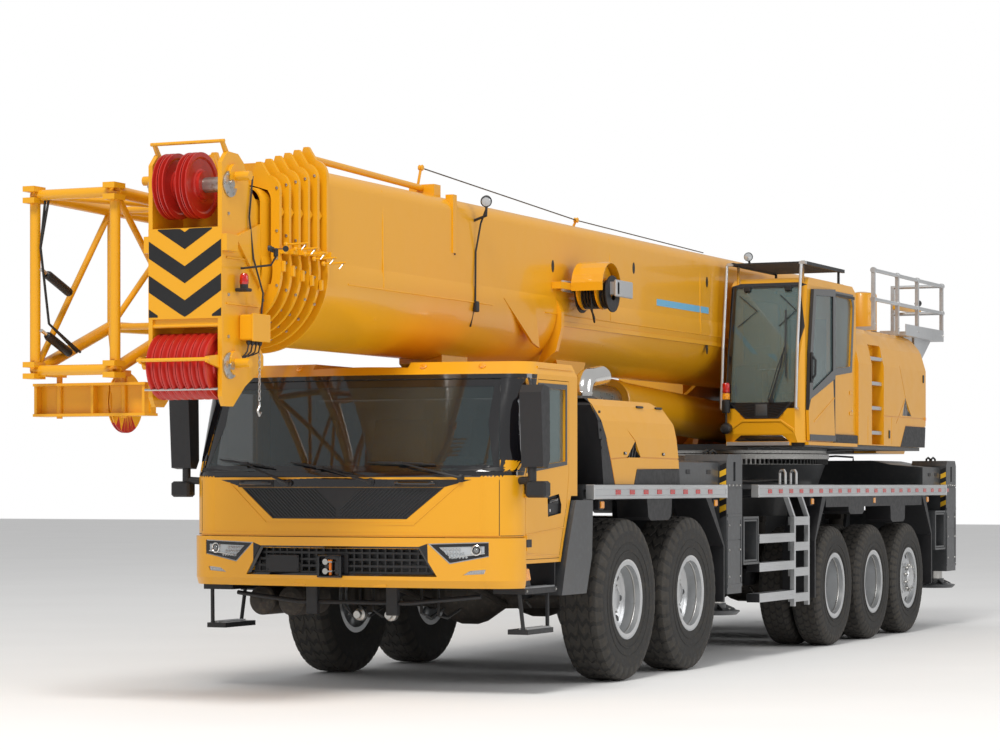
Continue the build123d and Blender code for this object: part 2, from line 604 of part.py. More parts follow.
def shrunk(points, amount):
    """The same polygon moved inwards all round."""
    with BuildSketch(Plane.XY) as shape:
        with BuildLine():
            Polyline(*points, close=True)
        make_face()
        offset(amount=-amount, kind=Kind.INTERSECTION, mode=Mode.REPLACE)
    ring = shape.sketch.faces()[0].outer_wire().order_edges()
    return [(edge.start_point().X, edge.start_point().Y) for edge in ring]


def from_axle(points):
    """The same (x, z) points, measured from the origin instead of the first axle."""
    return [(axle_1_x + x, z) for x, z in points]


front_x = (axle_1_x + 1750, axle_1_x + 2600)
with BuildPart() as screen_hole:
    cab_skin(30, -130)
    across(screen, front_x, mode=Mode.INTERSECT)
with BuildPart() as cowl_hole:
    cab_skin(30, -12)
    across(cowl, front_x, mode=Mode.INTERSECT)
with BuildPart() as bumper_gap:
    cab_skin(30, -72)
    block((axle_1_x + bumper_rear - 5, axle_1_x + 2600), (-1600, 1600), (cab_sill - 10, bumper_high + 5),
          mode=Mode.INTERSECT)

with BuildPart() as cab:
    cab_form(cab_rows, cab_rear_x)
    cab_form(inner_rows, cab_rear_x + cab_wall, mode=Mode.SUBTRACT)
    for hole in (screen_hole, cowl_hole, bumper_gap):
        add(hole.part, mode=Mode.SUBTRACT)
    for sign in (1, -1):
        outline(from_axle(arch_wall), (sign * 1010, sign * cab_half))
        outline(from_axle(arch), (sign * 1040, sign * (cab_half + 10)), mode=Mode.SUBTRACT)
        outline(from_axle(door_shape), (sign * (cab_half - cab_wall - 5), sign * (cab_half + 5)),
                mode=Mode.SUBTRACT)
    # the roof dips between its two raised halves
    outline(from_axle([(1300, 2660), (2100, 2660), (2100, 2565), (1750, 2572), (1300, 2640)]), (-430, 430),
            mode=Mode.SUBTRACT)
    block((cab_rear_x - 10, cab_rear_x + cab_wall + 10), (-950, 950), (1850, 2380), mode=Mode.SUBTRACT)
    for sign in (1, -1):
        # door hinges: a bracket, a pin and another bracket
        for z in hinge_zs:
            for low, high in ((z - 60, z - 31), (z + 31, z + 60)):
                block((door_hinge_x - 7, door_hinge_x + 12),
                      (sign * (cab_half - 6), sign * (cab_half + 24)), (low, high))
            bar((door_hinge_x, sign * (cab_half + 12), z - 60),
                (door_hinge_x, sign * (cab_half + 12), z + 60), 8)
        # mirrors: a tall head and a low one on a bent arm
        outline(from_axle([(2160, 1790), (2250, 1800), (2290, 2380), (2240, 2440), (2125, 2420),
                           (2115, 1860)]),
                (sign * (cab_half + 40), sign * (cab_half + 225)))
        bar((axle_1_x + 2155, sign * (cab_half - 50), 1690),
            (axle_1_x + 2200, sign * (cab_half + 120), 1700), 30)
        bar((axle_1_x + 2200, sign * (cab_half + 110), 1690),
            (axle_1_x + 2200, sign * (cab_half + 110), 1830), 34)
        bar((axle_1_x + 1930, sign * (cab_half - 50), 2500),
            (axle_1_x + 2180, sign * (cab_half + 90), 2400), 22)
save(cab, "carrier_cab")

with BuildPart() as glass:
    cab_skin(-10, -18)
    across(shrunk(screen, fit), front_x, mode=Mode.INTERSECT)
    block((cab_rear_x + 20, cab_rear_x + 28), (-950 + fit, 950 - fit), (1850 + fit, 2380 - fit))
save(glass, "cab_windows")

door_gap = 5
for side, sign in (("left", 1), ("right", -1)):
    y = (sign * (cab_half - cab_wall), sign * cab_half)
    with BuildPart() as door:
        outline(shrunk(from_axle(door_shape), door_gap), y)
        outline(from_axle(pane_shape), (sign * (cab_half - cab_wall - 5), sign * (cab_half + 5)),
                mode=Mode.SUBTRACT)
        # recessed handle
        outline(from_axle([(1380, 1430), (1640, 1405), (1650, 1560), (1420, 1587), (1370, 1500)]),
                (sign * (cab_half - 22), sign * (cab_half + 5)), mode=Mode.SUBTRACT)
        block((axle_1_x + 1420, axle_1_x + 1600), (sign * (cab_half - 24), sign * (cab_half - 4)),
              (1510, 1545))
        for z in hinge_zs:
            block((door_hinge_x - 80, door_hinge_x), (sign * cab_half, sign * (cab_half + 24)),
                  (z - 30.5, z + 30.5))
            with Locations((door_hinge_x, sign * (cab_half + 12), z)):
                Cylinder(12, 61)
                Cylinder(8.3, 61, mode=Mode.SUBTRACT)
    with BuildPart() as pane:
        outline(shrunk(from_axle(pane_shape), fit), (sign * (cab_half - 28), sign * (cab_half - 22)))
    save_together(f"cab_door_{side}", door, pane)

# ---------------------------------------------------------------- bumper with its grille, lamps
bumper_rows = [
    (bumper_low, 2440, 2320, 2114, cab_half - 10),
    (bumper_low + 60, 2490, 2360, 2116, cab_half),
    (bumper_high, 2500, 2370, 2118, cab_half),
]


def bumper_skin(outer, inner):
    """The bumper's wall between two amounts outwards from the cab's form, in the open BuildPart."""
    cab_form(bumper_rows, axle_1_x + bumper_rear, outer)
    cab_form(bumper_rows, axle_1_x + bumper_rear - 5, inner, mode=Mode.SUBTRACT)


lamp_holes = [[(sign * y, z) for y, z in points] for points in (lamp_shape, fog_shape) for sign in (1, -1)]
with BuildPart() as lamp_pockets:
    bumper_skin(60, -22)
    with BuildPart(mode=Mode.PRIVATE) as prisms:
        for points in lamp_holes:
            across(points, front_x)
    add(prisms.part, mode=Mode.INTERSECT)
with BuildPart() as front:
    bumper_skin(20, -45)
    across(grille_shape, front_x, mode=Mode.SUBTRACT)
    add(lamp_pockets.part, mode=Mode.SUBTRACT)
    # brackets to the frame's end
    for sign in (1, -1):
        block((axle_1_x + 2250, axle_1_x + 2470), (sign * 300, sign * 420), (bumper_low + 10, 935))
grille_bow = ((-900, 2398), (-450, 2455), (0, 2472), (450, 2455), (900, 2398))
grille_deep = 30
with BuildPart() as grille:
    for z in (965, 1017, 1069, 1121, 1165):
        reach = 915 - (z - 940) * 0.617
        with BuildSketch(Plane.XY.offset(z - 9)) as slat:
            with BuildLine():
                Polyline(*[(axle_1_x + x, y) for y, x in grille_bow],
                         *[(axle_1_x + x - grille_deep, y) for y, x in reversed(grille_bow)], close=True)
            make_face()
            with Locations((axle_1_x + 2430, 0)):
                Rectangle(300, 2 * reach, mode=Mode.INTERSECT)
        extrude(slat.sketch, amount=18)
    for i in range(-12, 13):
        y = i * 68
        x = axle_1_x + 2472 - 17 * min(abs(y), 450) / 450 - 57 * max(0, abs(y) - 450) / 450
        high = 1176 if abs(y) < 720 else 1176 - (abs(y) - 720) * 1.62
        block((x - 26, x - 4), (y - 7, y + 7), (956, high - 10))
    block((axle_1_x + 2440, axle_1_x + 2480), (-90, 90), (960, 1110))
with BuildPart() as front_end:
    add(front.part)
    add(grille.part)
save(front_end, "cab_front")

tail_x = axle_1_x - 11080
with BuildPart() as lamps:
    bumper_skin(12, -20)
    with BuildPart(mode=Mode.PRIVATE) as prisms:
        for points in lamp_holes:
            across(shrunk(points, fit), front_x)
    add(prisms.part, mode=Mode.INTERSECT)
    for sign in (1, -1):
        block((tail_x - 90, tail_x), (sign * 960, sign * 1240), (780, 960))
save(lamps, "lamps")

with BuildPart() as interior:
    for y in (900, 0, -900):
        back = cab_rear_x + 340 if y == 900 else cab_rear_x + 330
        outline([(back, 1450), (back + 480, 1470), (back + 500, 1560), (back + 460, 1600), (back + 130, 1590),
                 (back + 20, 2060), (back - 10, 2200), (back - 110, 2200), (back - 110, 2040),
                 (back - 30, 1560)],
                (y - 240, y + 240))
        block((back + 60, back + 360), (y - 150, y + 150), (cab_sill + cab_wall, 1462))
    outline(from_axle([(2120, 1300), (2225, 1300), (2265, 1690), (2150, 1720), (2040, 1640)]), (-1180, 1180))
    for y in (-1100, 1100):
        block((axle_1_x + 2140, axle_1_x + 2220), (y - 40, y + 40), (cab_sill + cab_wall, 1310))
    bar((axle_1_x + 2080, 900, 1600), (axle_1_x + 1960, 900, 1730), 30)
    turned([(195, -16), (215, -22), (234, -16), (240, 0), (234, 16), (215, 22), (195, 16), (190, 0)],
           Plane(origin=(axle_1_x + 1950, 900, 1740), z_dir=(-0.62, 0, 0.78)))
    with Locations(Plane(origin=(axle_1_x + 1950, 900, 1740), z_dir=(-0.62, 0, 0.78))):
        Box(400, 50, 18)
        Box(50, 400, 18)
save(interior, "cab_interior")

# ---------------------------------------------------------------- turntable
deck_z = ring_high + running_gap
winch_x, winch_z, winch_radius = boom_pivot_x - 1130, 2960, 300
cheek_y = plate_y + plate_thick
cheek = [
    (slew_x + 1250, deck_z + 60), (slew_x + 1250, deck_z + 240), (slew_x + 950, 2480), (slew_x + 200, 2640),
    (boom_pivot_x + 480, boom_pivot_z - 60), (boom_pivot_x + 260, boom_pivot_z + 240),
    (boom_pivot_x - 120, boom_pivot_z + 260), (boom_pivot_x - 420, boom_pivot_z + 60),
    (winch_x + 60, winch_z + 190), (winch_x - 180, winch_z + 120), (winch_x - 250, winch_z - 80),
    (winch_x - 250, deck_z + 60),
]
with BuildPart() as turntable:
    with Locations((slew_x, 0, deck_z)):
        Cylinder(ring_radius - 20, 60, align=(Align.CENTER, Align.CENTER, Align.MIN))
    block((slew_x - 3380, slew_x + 1300), (-cheek_y, cheek_y), (deck_z, deck_z + 60))
    for sign in (1, -1):
        outline(cheek, (sign * plate_y, sign * cheek_y))
        # lightening hole and stiffening rib
        with Locations((slew_x - 900, sign * (plate_y + plate_thick / 2), 2430)):
            Cylinder(170, plate_thick + 10, rotation=(90, 0, 0), mode=Mode.SUBTRACT)
        with Locations((boom_pivot_x, sign * (cheek_y + 30), boom_pivot_z)):
            Cylinder(190, 60, rotation=(90, 0, 0))
            Cylinder(120, 100, rotation=(90, 0, 0))
        # pivot lug of the lifting cylinder
        outline([(cylinder_foot_x - 260, deck_z + 60), (cylinder_foot_x + 260, deck_z + 60),
                 (cylinder_foot_x + 120, cylinder_foot_z + 60), (cylinder_foot_x + 60, cylinder_foot_z + 120),
                 (cylinder_foot_x - 60, cylinder_foot_z + 120),
                 (cylinder_foot_x - 120, cylinder_foot_z + 60)],
                (sign * 260, sign * 320))
        across([(sign * 320, deck_z + 60), (sign * plate_y, deck_z + 60), (sign * 320, cylinder_foot_z)],
               (cylinder_foot_x - 20, cylinder_foot_x + 20))
        # outriggers of the deck that carry the operator's cab and the machinery houses
        rear, forward = (slew_x - 2300, slew_x + 1900) if sign > 0 else (slew_x - 2300, slew_x - 100)
        block((rear, forward), (sign * cheek_y, sign * 1400), (deck_z + 20, deck_z + 58))
        across([(sign * cheek_y, deck_z), (sign * 1300, deck_z + 20), (sign * cheek_y, deck_z + 20)],
               (slew_x - 900, slew_x - 600))
save(turntable, "turntable")

# ---------------------------------------------------------------- machinery houses, platform, winch
house_rear_x, house_front_x = slew_x - 2400, slew_x + 215
house_low = deck_z + 60
house_y, house_inner_y = 1450, 680
house_side = [
    # x from the slewing axis, z
    (-2350, 0), (-2395, 340), (-2390, 900), (-2330, 1130), (-2200, 1240), (-2000, 1270),
]
house_edge = ((1240, 3400), (1330, 3310), (1405, 3170), (1452, 2960), (1500, 2960), (1500, 3400))
recess_x, recess_depth = (slew_x - 720, slew_x - 270), 130
rung_zs = (2230, 2500, 2770, 3040)
house_grooves = [
    # from x, z to x, z, from the slewing axis
    (-1060, 3400, -1560, 2640), (-1560, 2640, -1200, 2350), (-2450, 2420, -280, 2420),
    (-1330, 2060, -1560, 2330),
    (-1560, 2330, -2450, 2330),
]
house_vent = ((-1560, 2640), (-1440, 2440), (-1800, 2440))
with BuildPart() as house:
    for sign in (1, -1):
        front = house_front_x if sign > 0 else slew_x - 100
        outline([(slew_x + x, house_low + z) for x, z in house_side] + [(front, house_low + 1270),
                                                                        (front, house_low)],
                (sign * house_inner_y, sign * house_y))
        across([(sign * y, z) for y, z in house_edge], (slew_x - 2500, slew_x + 300), mode=Mode.SUBTRACT)
        outer = (sign * (house_y - groove_depth), sign * (house_y + 5))
        grooves(house_grooves, slew_x, outer)
        vent_panel(house_vent, slew_x, sign * house_y, [(-1490 - 70 * i, 2440, 2640, 50) for i in range(4)])
        # climbing recess with its rungs
        if sign > 0:
            block(recess_x, (house_y - recess_depth, house_y + 5), (house_low + 10, 3190), mode=Mode.SUBTRACT)
            for z in rung_zs:
                block((recess_x[0] - 5, recess_x[1] + 5), (house_y - 90, house_y - 25), (z - 18, z + 18))
save(house, "machinery_house")

floor_z, rail_z, knee_z = house_low + 1270, 4020, 3700
platform_y, platform_inner_y = 1400, 760
platform_rear_x, platform_floor_x = slew_x - 3340, slew_x - 1750
post_xs = (slew_x - 560, slew_x - 1480, slew_x - 2280, slew_x - 3320)
tube_radius = 21
with BuildPart() as platform:
    block((platform_rear_x, platform_floor_x), (platform_inner_y, platform_y), (floor_z, floor_z + 46))
    block((platform_rear_x, platform_floor_x), (platform_y - 8, platform_y), (floor_z, floor_z + 130))
    block((platform_rear_x, platform_rear_x + 8), (platform_inner_y, platform_y), (floor_z, floor_z + 130))
    for z in (rail_z, knee_z):
        bar((platform_rear_x + 20, platform_y - 20, z), (post_xs[0], platform_y - 20, z), tube_radius)
        bar((platform_rear_x + 20, platform_inner_y + 20, z), (platform_rear_x + 20, platform_y - 20, z),
            tube_radius)
    for x in post_xs:
        low = floor_z + 10 if x < platform_floor_x else floor_z
        block((x - 20, x + 20), (platform_y - 42, platform_y - 2), (low, rail_z + 20))
    for x in post_xs[:2]:
        block((x - 20, x + 20), (1180, platform_y - 2), (floor_z, floor_z + 40))
    block((platform_rear_x, platform_rear_x + 40), (platform_inner_y, platform_inner_y + 40),
          (floor_z + 10, rail_z + 20))
    # brackets down to the house's rear wall
    for y in (820, 1280):
        outline([(house_rear_x - 5, floor_z), (house_rear_x - 700, floor_z),
                 (house_rear_x - 5, floor_z - 420)],
                (y, y + 30))
save(platform, "platform")

drum_half = plate_y - running_gap
with BuildPart() as winch:
    rim = drum_half - 60
    turned([(0, -drum_half), (120, -drum_half), (120, -rim - 20), (winch_radius, -rim - 20),
            (winch_radius, -rim + 10),
            (190, -rim + 30), (190, rim - 30), (winch_radius, rim - 10), (winch_radius, rim + 20),
            (120, rim + 20),
            (120, drum_half), (0, drum_half)], Plane(origin=(winch_x, 0, winch_z), z_dir=(0, 1, 0)))
save(winch, "winch_drum")

weight_y, weight_rear_x = 850, slew_x - 3640
with BuildPart() as weight:
    for sign in (1, -1):
        outline([(slew_x - 3380, deck_z), (slew_x - 2410, deck_z), (slew_x - 2410, 2640),
                 (slew_x - 2470, 2700),
                 (slew_x - 3380, 2700)], (sign * cheek_y, sign * weight_y))
    outline([(weight_rear_x, deck_z + 80), (weight_rear_x + 80, deck_z), (slew_x - 3380, deck_z),
             (slew_x - 3380, 2700),
             (weight_rear_x + 60, 2700), (weight_rear_x, 2640)], (-weight_y, weight_y))
save(weight, "counterweight")

# ---------------------------------------------------------------- operator's cab
opcab_front_x, opcab_rear_x = slew_x + 2060, slew_x + 216
opcab_in_y, opcab_out_y = 605, 1420
opcab_low, opcab_high = deck_z + 60, 3780
opcab_wall = 45
opcab_shape = [
    # x from the cab's front, z
    (-1844, opcab_low), (-30, opcab_low), (0, opcab_low + 90), (0, opcab_low + 420), (-60, 3000),
    (-190, 3700),
    (-300, opcab_high), (-1780, opcab_high), (-1844, 3700),
]
opcab_inside = [
    (-1799, opcab_low + 45), (-60, opcab_low + 45), (-50, opcab_low + 420), (-108, 2990), (-235, 3690),
    (-320, 3735), (-1760, 3735), (-1799, 3690),
]
op_door = [
    # the sliding door, from the cab's front
    (-1010, opcab_low + 20), (-160, opcab_low + 20), (-130, 2420), (-175, 3000), (-290, 3660), (-1010, 3700),
]
op_door_pane = [(-930, 2850), (-255, 2620), (-262, 3000), (-372, 3590), (-420, 3620), (-930, 3620)]
op_side_pane = [(-1640, 2920), (-1120, 2880), (-1090, 2940), (-1090, 3640), (-1670, 3640), (-1720, 3560)]
mesh_low, mesh_high = 2330, 2490


def from_opcab(points):
    """The same (x, z) points, measured from the origin instead of the cab's front."""
    return [(opcab_front_x + x, z) for x, z in points]


with BuildPart() as opcab:
    outline(from_opcab(opcab_shape), (opcab_in_y, opcab_out_y))
    # round the upper edges and draw the front in a little
    across([(opcab_out_y + 5, 3690), (opcab_out_y - 25, 3790), (opcab_out_y + 5, 3790)],
           (opcab_rear_x - 5, opcab_front_x + 5), mode=Mode.SUBTRACT)
    with BuildSketch(Plane.XY.offset(opcab_low - 5)) as corner:
        with BuildLine():
            Polyline((opcab_front_x - 110, opcab_out_y), (opcab_front_x, opcab_out_y - 70),
                     (opcab_front_x + 5, opcab_out_y + 5), close=True)
        make_face()
    extrude(corner.sketch, amount=1800, mode=Mode.SUBTRACT)
    outline(from_opcab(opcab_inside), (opcab_in_y + opcab_wall, opcab_out_y - opcab_wall), mode=Mode.SUBTRACT)
    # openings: door, side panes, windscreen, rear pane
    outline(from_opcab([(-960, opcab_low + 60), (-200, opcab_low + 60), (-180, 2420), (-225, 3000),
                        (-340, 3600),
                        (-960, 3640)]), (opcab_out_y - 60, opcab_out_y + 10), mode=Mode.SUBTRACT)
    outline(from_opcab(op_side_pane), (opcab_out_y - 60, opcab_out_y + 10), mode=Mode.SUBTRACT)
    block((opcab_rear_x + 200, opcab_front_x - 420), (opcab_in_y - 10, opcab_in_y + 60), (2850, 3600),
          mode=Mode.SUBTRACT)
    outline(from_opcab([(20, 2495), (20, 3680), (-420, 3680), (-150, 2990), (-130, 2495)]),
            (opcab_in_y + 50, opcab_out_y - 75), mode=Mode.SUBTRACT)
    # black mesh band, bright moulding and step under the windscreen
    outline(from_opcab([(6, mesh_low), (6, mesh_high), (-12, mesh_high), (-12, mesh_low)]),
            (opcab_in_y + 160, opcab_out_y - 190), mode=Mode.SUBTRACT)
    block((opcab_front_x - 40, opcab_front_x + 30), (opcab_in_y + 20, opcab_out_y - 120),
          (opcab_low - 28, opcab_low + 10))
    # sliding door on its rails, outside the wall
    y = (opcab_out_y + side_gap, opcab_out_y + side_gap + 30)
    outline(from_opcab(op_door), y)
    outline(from_opcab(op_door_pane), (opcab_out_y + 1, opcab_out_y + 60), mode=Mode.SUBTRACT)
    for z, front in ((opcab_low + 110, -240), (3640, -420)):
        block((opcab_rear_x + 60, opcab_front_x + front), (opcab_out_y - 15, opcab_out_y + side_gap),
              (z, z + 28))
    # side sill step behind the door's foot
    block((opcab_rear_x + 40, opcab_front_x - 140), (opcab_out_y - 10, opcab_out_y + 30),
          (opcab_low - 24, opcab_low + 10))
    # roof guard: a slatted frame on posts
    guard = (opcab_front_x - 1480, opcab_front_x - 110)
    for x in (guard[0] + 60, guard[1] - 120):
        for y in (opcab_in_y + 60, opcab_out_y - 60):
            bar((x, y, 3700), (x, y, 3925), 14)
    for y in (opcab_in_y + 20, opcab_out_y - 40):
        block(guard, (y, y + 30), (3905, 3940))
    for i in range(15):
        x = guard[0] + i * (guard[1] - guard[0] - 30) / 14
        block((x, x + 30), (opcab_in_y + 20, opcab_out_y - 10), (3915, 3932))
    # grab rails beside the windscreen
    for y in (opcab_in_y - 22, opcab_out_y - 40):
        for a, b in (((60, 2440), (10, 3050)), ((10, 3050), (-110, 3905)), ((-110, 3905), (-150, 3920)),
                     ((60, 2440), (-20, 2430))):
            bar((opcab_front_x + a[0], y, a[1]), (opcab_front_x + b[0], y, b[1]), 15)
        block((opcab_front_x - 160, opcab_front_x - 100), (min(y, opcab_out_y - 60), y + 45), (3905, 3935))
    block((opcab_front_x - 60, opcab_front_x + 10), (opcab_in_y - 30, opcab_in_y + 20), (2415, 2445))
save(opcab, "operator_cab")

with BuildPart() as opglass:
    outline(from_opcab([(-20 - fit, 2495 + fit), (-77, 2995), (-198, 3680 - fit), (-206, 3680 - fit),
                        (-85, 2995), (-28, 2495 + fit)]),
            (opcab_in_y + 50 + fit, opcab_out_y - 75 - fit))
    outline(shrunk(from_opcab(op_side_pane), fit), (opcab_out_y - 26, opcab_out_y - 20))
    block((opcab_rear_x + 200 + fit, opcab_front_x - 420 - fit), (opcab_in_y + 20, opcab_in_y + 26),
          (2850 + fit, 3600 - fit))
    outline(shrunk(from_opcab(op_door_pane), fit), (opcab_out_y + side_gap + 12, opcab_out_y + side_gap + 18))
save(opglass, "operator_windows")

op_seat_x, op_seat_y = opcab_rear_x + 420, 1010
with BuildPart() as opseat:
    outline([(op_seat_x, 2620), (op_seat_x + 480, 2640), (op_seat_x + 500, 2720), (op_seat_x + 460, 2760),
             (op_seat_x + 130, 2745), (op_seat_x + 20, 3300), (op_seat_x - 20, 3420), (op_seat_x - 110, 3410),
             (op_seat_x - 110, 3260), (op_seat_x - 20, 2700)], (op_seat_y - 235, op_seat_y + 235))
    block((op_seat_x + 80, op_seat_x + 360), (op_seat_y - 120, op_seat_y + 120),
          (opcab_low + opcab_wall, 2632))
    for y in (op_seat_y - 300, op_seat_y + 240):
        block((op_seat_x + 60, op_seat_x + 420), (y, y + 60), (2640, 2860))
        block((op_seat_x + 120, op_seat_x + 300), (y - 1 if y > op_seat_y else y, y + 61),
              (opcab_low + opcab_wall, 2650))
        bar((op_seat_x + 380, y + 30, 2850), (op_seat_x + 400, y + 30, 3020), 16)
    outline(from_opcab([(-360, opcab_low + opcab_wall), (-130, opcab_low + opcab_wall), (-115, 2700),
                        (-150, 2880), (-330, 2820)]),
            (opcab_in_y + 60, opcab_in_y + 280))
save(opseat, "operator_seat")


# ---------------------------------------------------------------- boom
corner_radius, belly_drop = 120, 110


def boom_face(shrink, mode=Mode.ADD):
    """The outline of one boom tube in the open sketch: flat top with round corners, round belly."""
    half = boom_half_width - shrink
    top = boom_z + boom_flat - shrink
    with BuildLine() as edge:
        Line((-half, boom_z), (-half, top - corner_radius))
        RadiusArc((-half, top - corner_radius), (-half + corner_radius, top), corner_radius)
        Line((-half + corner_radius, top), (half - corner_radius, top))
        RadiusArc((half - corner_radius, top), (half, top - corner_radius), corner_radius)
        Line((half, top - corner_radius), (half, boom_z))
        ThreePointArc((half, boom_z), (0, boom_z - half - belly_drop), (-half, boom_z))
    make_face(edge.edges(), mode=mode)


def tube(x0, x1, outer, inner):
    """A boom tube between two x values, in the open BuildPart. Outer and inner shrink the outline."""
    with BuildSketch(Plane.YZ.offset(x0)) as ring:
        boom_face(outer)
        boom_face(inner, mode=Mode.SUBTRACT)
    extrude(ring.sketch, amount=x1 - x0)


def pad(x0, x1, outer, inner, below):
    """Wear pads that fill the gap between two tubes, below or above a height over the boom's axis."""
    with BuildSketch(Plane.YZ.offset(x0)) as ring:
        boom_face(outer)
        boom_face(inner, mode=Mode.SUBTRACT)
        with Locations((0, boom_z + (below + 500 if below < 0 else below - 500))):
            Rectangle(1400, 1000, mode=Mode.SUBTRACT)
    extrude(ring.sketch, amount=x1 - x0)


collar_rise, collar_thick = 62, 34
lug_rise = 160
side_lug_zs = (boom_z + 60, boom_z + 330)


def collar(x, shrink):
    """A stiffening plate round a tube's mouth, with two lugs on top and brackets at the sides."""
    tube(x - collar_thick, x, shrink - collar_rise, shrink + section_wall)
    half, top = boom_half_width - shrink, boom_z + boom_flat - shrink
    for sign in (1, -1):
        across([(sign * (half - 190), top - 5), (sign * (half - 10), top - 60),
                (sign * (half - 20), top + collar_rise - 20),
                (sign * (half - 95), top + lug_rise), (sign * (half - 135), top + lug_rise)],
                (x - collar_thick, x))
        for z in side_lug_zs:
            outline([(x - collar_pitch + side_gap, z), (x - collar_thick, z - 45),
                     (x - collar_thick, z + 45)],
                    (sign * (half - 4), sign * (half + collar_rise - 6)))
    # rope guide, on the side away from the jib
    block((x - 66, x), (half + 20, half + collar_rise + 38), (boom_z + 20, boom_z + 58))


pad_length = 150
boom_tail_x = boom_pivot_x - 480
ear_half_length = 420
saddle_x = cylinder_eye_x
reel_x, reel_y, reel_z, reel_cover = axle_1_x - 1050, 760, 3430, 228
with BuildPart() as base:
    tube(boom_tail_x, base_front_x, 0, section_wall)
    collar(base_front_x, 0)
    for sign in (1, -1):
        # pivot bosses at the tail
        seat = plate_y - running_gap
        with Locations((boom_pivot_x, sign * (boom_half_width + (seat - boom_half_width) / 2), boom_pivot_z)):
            Cylinder(200, seat - boom_half_width, rotation=(90, 0, 0))
        # saddle over the lifting cylinder: gusset, rib and ears for its upper pin
        outline([(axle_1_x + 450, 3250), (axle_1_x - 210, 3210), (axle_1_x - 300, 2860),
                 (axle_1_x - 150, 2900)],
                (sign * (boom_half_width - 8), sign * (boom_half_width + 14)))
        across([(sign * 330, 2740), (sign * 300, 2700), (sign * 505, 2850),
                (sign * (boom_half_width + 50), 3060),
                (sign * (boom_half_width + 50), 3200), (sign * (boom_half_width - 5), 3330),
                (sign * 505, 3200)],
               (axle_1_x - 760, axle_1_x - 700))
        outline([(saddle_x - ear_half_length, 2930), (saddle_x + ear_half_length, 2930),
                 (saddle_x + 160, cylinder_eye_z - 60), (saddle_x + 80, cylinder_eye_z - 140),
                 (saddle_x - 80, cylinder_eye_z - 140), (saddle_x - 160, cylinder_eye_z - 60)],
                (sign * 230, sign * 290))
        # stiffening strip along the web
        outline([(axle_1_x - 7000, 3080), (axle_1_x - 800, 3080), (axle_1_x - 800, 3120),
                 (axle_1_x - 7000, 3120)],
                (sign * (boom_half_width - 60), sign * (boom_half_width + 8)))
    # bar over the top flange, from the collar back to its bracket
    bar((base_front_x - 20, 300, 4130), (axle_1_x + 1560, 300, 4085), 26)
    block((axle_1_x + 1480, axle_1_x + 1600), (190, 420), (4000, 4115))
    outline([(axle_1_x + 1380, 3560), (axle_1_x + 1450, 3560), (axle_1_x + 1450, 4040),
             (axle_1_x + 1380, 4040)],
            (boom_half_width - 60, boom_half_width + 10))
    # the boom's inside is open
    with BuildSketch(Plane.YZ.offset(boom_tail_x)):
        boom_face(section_wall)
    extrude(amount=base_front_x - boom_tail_x, mode=Mode.SUBTRACT)
    pad(base_front_x - pad_length, base_front_x, section_wall, section_step - fit, -200)

# skid that lies on the boom rest, fitted to the round belly
with BuildPart() as skid:
    outline([(rest_x - 160, 2790), (rest_x + 340, 2790), (rest_x + 340, 2680), (rest_x + 160, rest_high + fit),
             (rest_x - 160, rest_high + fit)], (-200, 200))
    with BuildSketch(Plane.YZ.offset(rest_x - 200)) as belly:
        boom_face(-fit)
    extrude(belly.sketch, amount=600, mode=Mode.SUBTRACT)

# cable reel under a round cover, with its motor behind, bolted to the boom's left side
with BuildPart() as reel:
    outline([(reel_x + 450, reel_z - 30), (reel_x - 700, reel_z - 30), (reel_x - 700, reel_z + 30),
             (reel_x + 450, reel_z + 30)],
            (boom_half_width + fit, 600))
    block((reel_x - 60, reel_x + 60), (590, reel_y - 125), (reel_z - 60, reel_z + 60))
    turned([(0, -130), (200, -130), (200, -112), (120, -104), (120, 40), (200, 48), (200, 66), (80, 66),
            (80, 130), (0, 130)],
           Plane(origin=(reel_x, reel_y, reel_z), z_dir=(0, 1, 0)))
    outline([(reel_x + reel_cover * math.cos(math.radians(a)),
              reel_z + reel_cover * math.sin(math.radians(a)))
             for a in range(-10, 181, 19)] +
            [(reel_x + (reel_cover - 12) * math.cos(math.radians(a)),
              reel_z + (reel_cover - 12) * math.sin(math.radians(a)))
             for a in range(180, -11, -19)], (600, reel_y + 140))
    block((reel_x - reel_cover, reel_x + reel_cover), (boom_half_width + fit, 612), (reel_z, reel_z + 12))
    bar((reel_x - 690, 650, reel_z), (reel_x - 290, 650, reel_z), 62)
    block((reel_x - 640, reel_x - 340), (590, 640), (reel_z - 30, reel_z + 30))
save_together("boom_base", base, skid, reel)

